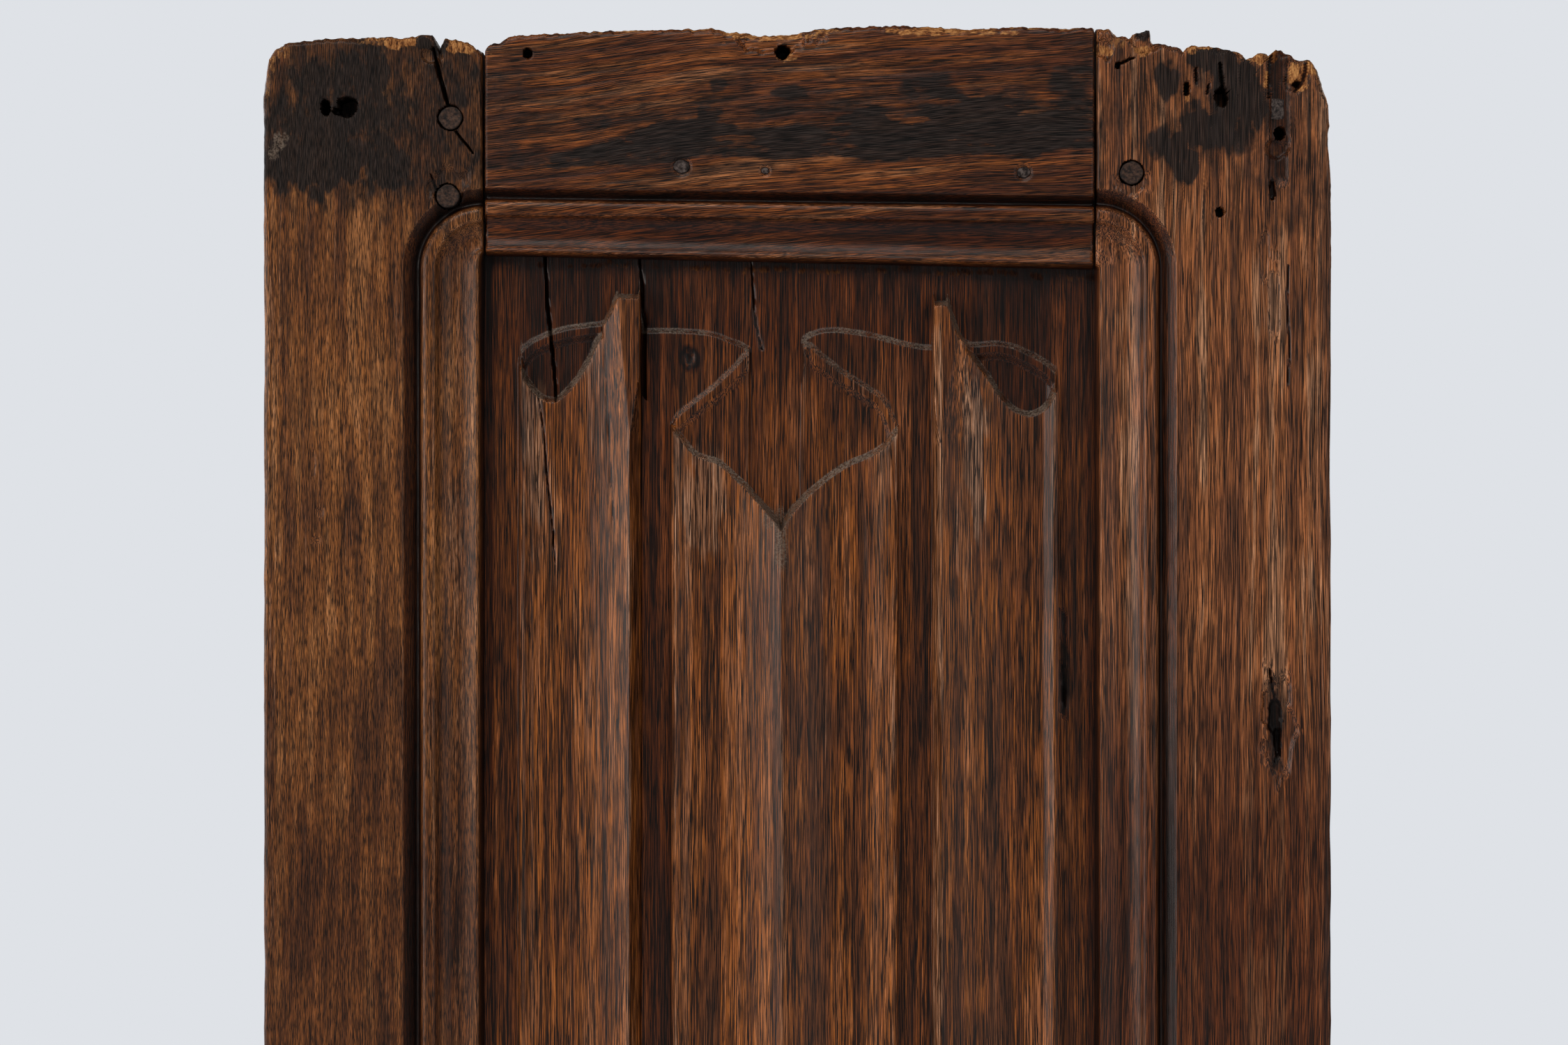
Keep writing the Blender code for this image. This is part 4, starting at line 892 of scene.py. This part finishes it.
def board_grime_and_shade(column, row, px, py, height, under, s_fold, split):
    """Painted shade low in the carving, in the valleys beside the fold walls, beside the stiles, under the rail
    and in the splits, with soot and old wax, and the dark ring round the knot.
    """
    knot = np.hypot(px - 988, (py - 514) / 1.15) + 1.5 * rough(px / 6, py / 6, 94)
    ringed = np.exp(-((knot - 12) / 3) ** 2) + 1.5 * (1 - ease(knot, 3, 7))
    low = 1 - ease(height, 0.4, 3.4)
    # Painted shade: low places in the carving, the valleys beside the fold walls, and the strips beside the
    # stiles are darkened.
    grime = 0.3 * low + 0.25 * between(column, 918, 965, 2) + 0.05 * between(column, 1289, 1340, 2)
    grime += 0.6 * (between(column, 692, 700, 4) + between(column, 1566, 1574, 4))
    # Painted shade under the rail, low near the top and inside the ovals, and in the splits; the ring round the
    # knot is its own colour.
    grime += (0.5 * (1 - ease(under, 0, 26)) + 1.2 * split + 0.9 * ringed
              + 0.3 * (1 - ease(row, 400, 640)) * low)
    grime += 0.25 * (between(column, 748, 862, 8) + between(column, 1398, 1510, 8)) * (s_fold < 0) * low
    return np.clip(grime, 0, 1.6)


# %% The carved board
def board():
    """The whole board: cloth heights on the bent grid, with cracks, wear and the carver's unevenness."""
    column = np.tile(COLUMNS, (len(board_rows), 1))
    row = np.minimum(board_rows, 2 * MIDDLE_PIXEL - board_rows)
    height, *hems = cloth(column, row)
    drift = 1.3 * rough(board_rows / 170, column / 60, 91)
    px = column + drift * between(column, 735, 1525, 12)
    py = board_rows
    lay = px + 2.2 * rough(px / 80, py / 420, 90)
    furrow = rough(lay / 7, py / 130, 93)
    sunk = -height + (0.10 * rough(px / 40, py / 160, 92) + 0.055 * furrow)
    split = np.zeros(px.shape)
    for width, deep, points in BOARD_CRACKS:
        here = crack(px, py, points, width)
        split = np.maximum(split, here)
        sunk += deep * here * (height < 7.5)
    sunk += 0.6 * blob(px, py, 988, 514, 9, 11, 95)
    front = np.stack([across(px), BOARD_FRONT + sunk * MM, level(py)], axis=2)

    under = py - np.interp(px, [695, 1570], [364, 384])
    line = np.exp(-((under - 10 - 3 * rough(px / 40, px * 0, 96)) / 5) ** 2)
    line *= 0.5 + 0.6 * rough(px / 9, py / 5, 97)
    marks = {
        "dust": board_dust(column, row, px, py, hems),
        "worn": board_wear_and_highlight(column, row, px, py, height, hems),
        "grime": board_grime_and_shade(column, row, px, py, height, under, hems[2], split),
        "stain": 0.8 * blob(px, py, 1531, 960, 6, 70, 101),
        "raw": 1.5 * line * (row == board_rows),
        "furrow": furrow, "lay": lay * PIXEL}
    points = border(front)
    centre = np.array([(LEFT_EDGE + RIGHT_EDGE) / 2, 0, MIDDLE])

    def ring(y, inset):
        """The border moved back to a level and inward, for the tongue and the sloping back."""
        moved = points.copy()
        moved[:, 1] = np.maximum(y, points[:, 1])
        reach = points - centre
        limit = np.abs(reach).max(axis=0) - np.array([inset, 0, inset + 5.4 * MM * (inset > 0)])
        moved[:, 0] = centre[0] + np.clip(reach[:, 0], -limit[0], limit[0])
        moved[:, 2] = centre[2] + np.clip(reach[:, 2], -limit[2], limit[2])
        return moved

    rings = [ring(BOARD_FRONT + 3 * MM, 0), ring(BOARD_FRONT + 5.7 * MM, 0), ring(BOARD_BACK, 14 * MM)]
    return closed_piece("linenfold_board", front, rings, marks)


linenfold_board = board()

# %% [markdown]
# Pegs, nails and the plug are small solids with their own faces. A peg was riven square and knocked through a
# round hole, so its end is a rounded polygon. Its face is worn a little hollow and stands just under the
# flat.

# %% Round pieces
ROUND_SIDES = 72


def round_piece(name, centre, radii, stations_back, seed, uneven):
    """Rings about an axis through the frame: each station is a share of the radius and a level."""
    angle = np.linspace(0, 2 * np.pi, ROUND_SIDES, endpoint=False)
    turn = np.cos(angle), np.sin(angle)
    outline = 1 + uneven * noise(1.6 * turn[0] + 7, 1.6 * turn[1] + 3, seed)
    outline += 0.35 * uneven * noise(4 * turn[0] + 7, 4 * turn[1] + 3, seed + 1)
    share, y = np.array(stations_back).T
    x = centre[0] + share[:, None] * outline * turn[0] * radii[0]
    z = centre[1] + share[:, None] * outline * turn[1] * radii[1]
    grain = rough(x / (0.9 * MM), z / (0.9 * MM), seed + 2)
    y = y[:, None] + 0.09 * MM * grain * (y[:, None] < FACE + 1 * MM)
    points = np.stack([x, y, z], axis=2).reshape(-1, 3)
    number = np.arange(share.size * ROUND_SIDES).reshape(share.size, ROUND_SIDES)
    after = np.roll(number, -1, axis=1)
    quads = np.stack([number[:-1], after[:-1], after[1:], number[1:]], -1).reshape(-1, 4)
    # The outer edge and the sides darken: painted shade in the gap round the piece.
    marks = {"lay": points[:, 0], "grime": np.repeat(ease(share, 0.8, 1.05), ROUND_SIDES)}
    return put_mesh(name, points, [quads], marks)


# %% Pegs and nails
def peg(name, where, end, seed):
    """An oak peg from just under the face to the back, smaller than its hole by a dark gap."""
    front = FACE + 0.35 * MM
    shape = [(0, front + 0.15 * MM)] + [(s, front + 0.15 * MM * (1 - s**2)) for s in np.linspace(0.1, 0.9, 9)]
    shape += [(0.96, front + 0.12 * MM), (1.0, front + 0.5 * MM), (1.0, FACE + 3 * MM)]
    shape += [(0.99, BACK), (0.8, BACK), (0, BACK)]
    return round_piece(name, peg_centre(where, end), (PEG_RADIUS, PEG_RADIUS), shape, seed, 0.07)


def nail(name, px, py, size, seed):
    """A hand-forged nail: a thin, flat head let in flush, on a shank that tapers into the wood."""
    front = FACE + 0.25 * MM
    shape = [(0, front)] + [(s, front + 0.1 * MM * s) for s in np.linspace(0.12, 0.84, 7)]
    shape += [(0.93, front + 0.16 * MM), (1.0, front + 0.5 * MM), (0.9, front + 1.1 * MM)]
    shape += [(0.5, front + 1.5 * MM), (0.42, FACE + 11 * MM), (0, FACE + 11.6 * MM)]
    centre = float(across(px)), float(level(py))
    return round_piece(name, centre, (size * PIXEL, 0.82 * size * PIXEL), shape, seed, 0.08)


PEG_NAMES = {f"peg_{end}_{where}": (where, end) for end in ("top", "bottom") for where in PEGS}
pegs = {node: peg(node + "_worn", *spec, 110 + 4 * k) for k, (node, spec) in enumerate(PEG_NAMES.items())}
nails = {f"rail_nail_{where}": nail(f"rail_nail_{where}_forged", *NAILS[where], 150 + k)
         for k, where in enumerate(NAILS)}

# %% The plug in the right stile
PLUG_LOW, PLUG_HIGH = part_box("right_stile_plug")


def plug():
    """A small block with its grain upright: its front is uneven in narrow ridges and its edges are rounded."""
    x, z = np.meshgrid(np.linspace(PLUG_LOW.x, PLUG_HIGH.x, 30), np.linspace(PLUG_HIGH.z, PLUG_LOW.z, 44))
    edge = np.minimum(np.minimum(x - x.min(), x.max() - x), np.minimum(z - z.min(), z.max() - z))
    furrow = rough(x / (0.8 * MM), z / (7 * MM), 161)
    sunk = 0.9 * MM + 0.18 * MM * furrow + 0.6 * MM * (1 - ease(edge, 0, 0.9 * MM))
    front = np.stack([x, FACE + sunk, z], axis=2)
    points = border(front)
    rings = [points + [0, depth, 0] for depth in (2 * MM, 4 * MM, 6.3 * MM)]
    marks = {"furrow": furrow, "lay": x, "stain": 0.5 + 0 * x}
    return closed_piece("right_stile_plug_worn", front, rings, marks)


stile_plug = plug()

# %% [markdown]
# Old oak is never one brown. Its early wood is orange, the late wood darker, the pores are short black
# dashes, and wax and soot have filled them. Iron stains it blue-black, broken edges show raw tan wood, hands
# wore the crests pale, and dust lies on the ledges. The wear layer also paints highlights pale, and the grime
# layer paints shade dark in hollows. The colours below follow those layers from the wood up.

# %% Colours and nodes


def linear(code):
    """An sRGB hex colour as linear red, green, blue and full opacity."""
    values = [int(code[k:k + 2], 16) / 255 for k in (0, 2, 4)]
    return [v / 12.92 if v <= 0.04045 else ((v + 0.055) / 1.055) ** 2.4 for v in values] + [1.0]


def add(tree, kind, settings, links=()):
    """A new node. A setting names an input or a property, and "stops" are a colour ramp's places and colours.
    A link is an input, a node and its output."""
    new = tree.nodes.new("ShaderNode" + kind)
    for key, value in settings.items():
        if key == "stops":
            for k, (place, code) in enumerate(value):
                stop = new.color_ramp.elements[k] if k < 2 else new.color_ramp.elements.new(place)
                stop.position = place
                stop.color = linear(code)
        elif isinstance(key, int) or key in new.inputs:
            new.inputs[key].default_value = value
        else:
            setattr(new, key, value)
    for key, source, output in links:
        tree.links.new(source.outputs[output], new.inputs[key])
    return new


def start_material(name):
    """A new material and its empty node tree."""
    material = bpy.data.materials.new(name)
    material.use_nodes = True
    material.node_tree.nodes.clear()
    return material, material.node_tree


# %% [markdown]
# One function makes the oak of each part, because the layers are the same and only their strength changes.
# The grain runs along the piece and is squeezed across it, at sizes measured in mm on real oak. Single pores
# are under 0.3 mm wide and are drawn a little coarser. What covers the wood (wear with painted highlights,
# stain, torn fibres, dust) follows the marks on the mesh, and a noise frays its edge.

# %% Layers of old oak
GRAIN = {  # mm across the grain, mm along it, how many finer layers, how strong each of them is
    "bands": (5, 90, 3, 0.7),  # years of growth, as slow bands of tone
    "patches": (22, 40, 2, 0.5),  # places that hands and wax left lighter or darker
    "lines": (0.9, 45, 3, 0.7),  # late wood, as long thin lines
    "dashes": (0.36, 14, 1, 0.6),  # rows of pores
    "pores": (0.22, 4, 1, 0.5),  # single pores
    "blotch": (5, 9, 5, 0.7),  # the soft edge of a stain
    "splinter": (0.9, 3, 4, 0.7),  # torn fibres
    "speck": (0.8, 0.8, 3, 0.7)}  # grains of dust
LINED = ("bands", "lines", "dashes", "pores")  # an oak's own run makes these longer
RAMP_PLACES = (0.38, 0.47, 0.63)
# The wear cover paints lit crests, rims and arrises pale as painted highlights, along with real wear.
COVERS = {  # noise at the edge and its strength, sums where it starts and is full, share, noise in it, colours
    "worn": ("lines", 2.6, 1.6, 2.6, 0.7, "dashes", ("6b4c38", "80604b", "a3846c")),
    "stain": ("blotch", 1.5, 0.8, 1.5, 0.96, "pores", ("050505", "0f0d0c", "2b2523")),
    "raw": ("splinter", 1.2, 0.95, 1.4, 0.95, "splinter", ("3f2413", "7d4f2b", "b5834f")),
    "dust": ("speck", 1.2, 0.85, 1.55, 0.8, "speck", ("241e1a", "4c4138", "695d52"))}
GRIME_AND_SHADE_RAMP = [(0.0, "ffffff"), (0.5, "ab9783"), (1.0, "40322b")]  # multiplied over the wood, from clean to black: grime and painted shade


def oak(name, along, tones, depth, run):
    """Oak with its grain along an axis. Bands set the tone. Lines, pores and furrows darken it and ridges glow,
    by depth's four numbers. The grain is run times as long as listed, and the covers are laid over it."""
    material, tree = start_material(name)
    here = add(tree, "TexCoord", {})
    parts = add(tree, "SeparateXYZ", {}, [("Vector", here, "Object")])
    source = {key: add(tree, "Attribute", {"attribute_name": key}) for key in MARKS + ("lay",)}
    place = add(tree, "CombineXYZ", {}, [("X", source["lay"], "Fac"), ("Y", parts, "Y"), ("Z", parts, along)])
    for key, (across_mm, along_mm, detail, fine) in GRAIN.items():
        cells = (1000 / across_mm, 1000 / across_mm, 1000 / along_mm / (run if key in LINED else 1))
        size = add(tree, "VectorMath", {"operation": "MULTIPLY", 1: cells}, [(0, place, 0)])
        settings = {"Scale": 1.0, "Detail": detail, "Roughness": fine}
        source[key] = add(tree, "TexNoise", settings, [("Vector", size, 0)])

    shades = []
    for key, low, high, least, most in (
            ("lines", 0.41, 0.47, 1 - depth[0], 1), ("dashes", 0.425, 0.455, 1 - depth[1], 1),
            ("pores", 0.43, 0.46, 0.9 - depth[1], 1), ("furrow", 0.6, 0.15, 1 - depth[2], 1),
            ("lines", 0.53, 0.62, 1, 1 + 0.5 * depth[3]), ("pores", 0.55, 0.585, 1, 1 + 1.3 * depth[3])):
        settings = {"From Min": low, "From Max": high, "To Min": least, "To Max": most}
        shades.append((None, add(tree, "MapRange", settings, [("Value", source[key], "Fac")])))
    share, cover = {}, {}
    for key, (frayed, strength, start, full, most, inside, codes) in COVERS.items():
        edge = add(tree, "Math", {"operation": "MULTIPLY_ADD", 1: strength},
                   [(0, source[frayed], "Fac"), (2, source[key], "Fac")])
        settings = {"From Min": start, "From Max": full, "To Max": most}
        share[key] = add(tree, "MapRange", settings, [("Value", edge, 0)])
        stops = list(zip(RAMP_PLACES, codes))
        colours = add(tree, "ValToRGB", {"stops": stops}, [("Fac", source[inside], "Fac")])
        cover[key] = share[key], colours
    grime = add(tree, "ValToRGB", {"stops": GRIME_AND_SHADE_RAMP}, [("Fac", source["grime"], "Fac")])
    # Layered from the wood up: the wear cover carries painted highlights and sheen, and the grime ramp carries
    # painted shade.
    layers = [cover["worn"]] + shades + [cover["stain"], cover["raw"], (None, grime), cover["dust"]]

    mixed = add(tree, "Math", {"operation": "MULTIPLY_ADD", 1: 0.45},
                [(0, source["patches"], "Fac"), (2, source["bands"], "Fac")])
    mixed = add(tree, "Math", {"operation": "MULTIPLY", 1: 0.69}, [(0, mixed, 0)])
    wood = (add(tree, "ValToRGB", {"stops": tones}, [("Fac", mixed, 0)]), 0)
    for part, above in layers:
        settings = {"data_type": "RGBA", "blend_type": "MULTIPLY" if part is None else "MIX", 0: 1.0}
        links = [(6, *wood), (7, above, 0)] + ([] if part is None else [(0, part, 0)])
        wood = (add(tree, "Mix", settings, links), 2)

    relief = add(tree, "Math", {"operation": "MULTIPLY_ADD", 1: 0.5},
                 [(0, source["pores"], "Fac"), (2, source["dashes"], "Fac")])
    relief = add(tree, "Math", {"operation": "MULTIPLY_ADD"},
                 [(0, source["splinter"], "Fac"), (1, share["raw"], 0), (2, relief, 0)])
    bump = add(tree, "Bump", {"Strength": 0.7, "Distance": 0.0003}, [("Height", relief, 0)])
    waxed = add(tree, "Bump", {"Strength": 0.5, "Distance": 0.00012}, [("Height", relief, 0)])
    total = {"operation": "ADD", "use_clamp": True}
    bare = add(tree, "Math", total, [(0, share["raw"], 0), (1, share["dust"], 0)])
    matt = add(tree, "MapRange", {"To Min": 0.52, "To Max": 0.85}, [("Value", bare, 0)])
    bare = add(tree, "Math", total, [(0, share["stain"], 0), (1, bare, 0)])
    wax = add(tree, "MapRange", {"To Min": 0.28, "To Max": 0.03}, [("Value", bare, 0)])
    gloss = {"IOR": 1.45, "Specular IOR Level": 0.09, "Coat Roughness": 0.27, "Coat IOR": 1.5}
    shader = add(tree, "BsdfPrincipled", gloss, [
        ("Base Color", *wood), ("Roughness", matt, 0), ("Coat Weight", wax, 0), ("Normal", bump, 0),
        ("Coat Normal", waxed, 0)])
    add(tree, "OutputMaterial", {}, [("Surface", shader, 0)])
    return material


# %% [markdown]
# All four are planed and waxed oak, so the slopes carry a low satin sheen while flat places stay nearly matt.
# The left stile is golden brown. The right one is drier and redder, with dark furrows. The rails have their
# grain across and are strongly lined, and the board is the darkest.

# %% The four oaks
LEFT_TONES = [(0.4, "522f17"), (0.46, "643b1c"), (0.54, "764822"), (0.6, "845630")]
RIGHT_TONES = [(0.4, "603820"), (0.46, "724325"), (0.54, "824f2c"), (0.6, "8f6548")]
RAIL_TONES = [(0.4, "472310"), (0.46, "5a2f14"), (0.54, "6c3b17"), (0.6, "774b2c")]
BOARD_TONES = [(0.4, "4a2914"), (0.46, "5c3217"), (0.53, "734016"), (0.6, "804e2c")]
left_oak = oak("waxed_oak_left_stile", "Z", LEFT_TONES, (0.25, 0.66, 0.25, 0.4), 1.0)
right_oak = oak("weathered_oak_right_stile", "Z", RIGHT_TONES, (0.28, 0.76, 0.42, 0.6), 3.0)
rail_oak = oak("waxed_oak_rails", "X", RAIL_TONES, (0.35, 0.76, 0.5, 0.5), 2.0)
board_oak = oak("carved_oak_board", "Z", BOARD_TONES, (0.3, 0.82, 0.3, 0.6), 3.0)


# %% [markdown]
# End grain soaks up soot and wax, so the pegs and the plug are dull and nearly black. The nails are
# hand-forged wrought iron: rust and old wax leave a dull brown that hardly mirrors. The mottle is 1.3 to 1.8
# mm wide, a little coarser than the real one, so that it shows.

# %% End grain and iron
def plain_solid(name, codes, size_mm, roughness, lift_mm, metallic=0.0):
    """A mottled surface: noise at a real size picks the colour and lifts the surface a little."""
    material, tree = start_material(name)
    here = add(tree, "TexCoord", {})
    mottle = add(tree, "TexNoise", {"Scale": 1000 / size_mm, "Detail": 4.0, "Roughness": 0.65},
                 [("Vector", here, "Object")])
    colour = add(tree, "ValToRGB", {"stops": list(zip(RAMP_PLACES, codes))}, [("Fac", mottle, "Fac")])
    # The grime mark darkens the edge: painted shade in the gap round a peg or nail.
    grime = add(tree, "Attribute", {"attribute_name": "grime"})
    edge = add(tree, "ValToRGB", {"stops": [(0.0, "ffffff"), (1.0, "4a423c")]}, [("Fac", grime, "Fac")])
    mixed = add(tree, "Mix", {"data_type": "RGBA", "blend_type": "MULTIPLY", 0: 1.0},
                [(6, colour, 0), (7, edge, 0)])
    bump = add(tree, "Bump", {"Strength": 0.7, "Distance": lift_mm * MM}, [("Height", mottle, "Fac")])
    gloss = {"Roughness": roughness, "Metallic": metallic, "Specular IOR Level": 0.2}
    shader = add(tree, "BsdfPrincipled", gloss, [("Base Color", mixed, 2), ("Normal", bump, 0)])
    add(tree, "OutputMaterial", {}, [("Surface", shader, 0)])
    return material


peg_oak = plain_solid("oak_end_grain_pegs", ("0d0705", "261811", "412e23"), 1.3, 0.6, 0.3)
plug_oak = plain_solid("oak_plug_darkened", ("0b0807", "241c1a", "48403c"), 1.4, 0.6, 0.2)
nail_iron = plain_solid("wrought_iron_rusted", ("100b0a", "2a2220", "524945"), 1.8, 0.65, 0.2, 0.3)

# %% [markdown]
# Each detailed piece stands for its imported solid and rides with the frame's one body.

# %% Materials and the body
DRESS = [
    (left_stile, left_oak, "left_stile", "frame_oak"), (right_stile, right_oak, "right_stile", "frame_oak"),
    (top_rail, rail_oak, "top_rail", "frame_oak"), (bottom_rail, rail_oak, "bottom_rail", "frame_oak"),
    (linenfold_board, board_oak, "linenfold_panel", "panel_oak"),
    (stile_plug, plug_oak, "right_stile_plug", "peg_oak")]
DRESS += [(piece, peg_oak, node, "peg_oak") for node, piece in pegs.items()]
DRESS += [(piece, nail_iron, node, "nail_iron") for node, piece in nails.items()]
for piece, material, node, slot in DRESS:
    piece.data.materials.append(material)
    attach(piece, "root")
    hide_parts(node)
print("dressed pieces:", len(DRESS))

# %% [markdown]
# The photograph was taken straight on in soft daylight. The main light is wide and stands above and in front.
# A window on the left models the folds, and a narrower light further left grazes them for the waxy sheen. A
# weak fill stands on the right, and two lights behind keep the wall side readable.

# %% Camera
CAMERA_DISTANCE = 1.4
camera_data = bpy.data.cameras.new("camera")
camera_data.sensor_width = 36
camera_data.lens = 36 * CAMERA_DISTANCE / (PHOTO_SIZE[0] * PIXEL)
camera = bpy.data.objects.new("camera", camera_data)
camera.location = (float(across(PHOTO_SIZE[0] / 2)), FACE - CAMERA_DISTANCE, float(level(PHOTO_SIZE[1] / 2)))
camera.rotation_euler = (np.pi / 2, 0, 0)
bpy.context.scene.collection.objects.link(camera)
bpy.context.scene.camera = camera
print(f"lens: {camera_data.lens:.1f} mm")

# %% Lights and surroundings
CENTRE = Vector((0, FACE, MIDDLE + 60 * MM))


def soft_light(name, place, size, watts, code):
    """A rectangular light, turned to face the middle of the panel."""
    data = bpy.data.lights.new(name, "AREA")
    data.shape = "RECTANGLE"
    data.size, data.size_y = size
    data.energy = watts
    data.color = linear(code)[:3]
    light = bpy.data.objects.new(name, data)
    light.location = place
    light.rotation_euler = (CENTRE - Vector(place)).to_track_quat("-Z", "Y").to_euler()
    bpy.context.scene.collection.objects.link(light)


soft_light("window_left", (-2.4, -2.4, 0.1), (1.6, 1.3), 31, "fffaf4")
soft_light("graze_left", (-3.15, -1.3, -0.1), (1.0, 1.6), 35, "fff3ee")
soft_light("upper_front", (-0.7, -2.1, 1.9), (2.4, 1.4), 53, "fffaf4")
soft_light("fill_right", (1.9, -2.3, 0.3), (2.2, 2.4), 21, "fff8f4")
soft_light("wall_left", (-2.0, 1.5, 0.3), (1.4, 2.4), 40, "f6f8ff")
soft_light("wall_right", (1.6, 2.2, 0.6), (1.6, 2.0), 40, "fff8f0")

world = bpy.data.worlds.new("pale_room")
world.use_nodes = True
bpy.context.scene.world = world
sky = world.node_tree
sky.nodes.clear()
seen = add(sky, "LightPath", {})
shown = add(sky, "Background", {"Color": linear("dfe2e7"), "Strength": 1.0})
cast = add(sky, "Background", {"Color": linear("e9ebf0"), "Strength": 0.14})
either = add(sky, "MixShader", {}, [(0, seen, "Is Camera Ray"), (1, cast, 0), (2, shown, 0)])
add(sky, "OutputWorld", {}, [("Surface", either, 0)])

# %% [markdown]
# The floor is a round slab of pale plaster level with the panel's foot.

# %% The floor
FLOOR_RADIUS = 1.4
FLOOR_SIDES = 96
angle = np.linspace(0, 2 * np.pi, FLOOR_SIDES, endpoint=False)
circle = FLOOR_RADIUS * np.cos(angle), FLOOR_RADIUS * np.sin(angle)
floor_points = np.stack([*circle, np.full(FLOOR_SIDES, BOTTOM_LINE)], 1)
floor_points = np.vstack([floor_points, floor_points - [0, 0, 10 * MM]])
around = np.arange(FLOOR_SIDES)
below = around + FLOOR_SIDES
sides = np.stack([around, below, np.roll(below, -1), np.roll(around, -1)], 1)
floor = put_mesh("floor", floor_points, [around[None, :], below[None, ::-1], sides], {})
floor_material, tree = start_material("matt_plaster_floor")
here = add(tree, "TexCoord", {})
cloud = add(tree, "TexNoise", {"Scale": 6.0, "Detail": 3.0}, [("Vector", here, "Object")])
pale = add(tree, "ValToRGB", {"stops": [(0.3, "dcdee2"), (0.7, "e0e2e6")]}, [("Fac", cloud, "Fac")])
shader = add(tree, "BsdfPrincipled", {"Roughness": 0.85}, [("Base Color", pale, 0)])
add(tree, "OutputMaterial", {}, [("Surface", shader, 0)])
floor.data.materials.append(floor_material)
bpy.context.scene.view_settings.view_transform = "Standard"
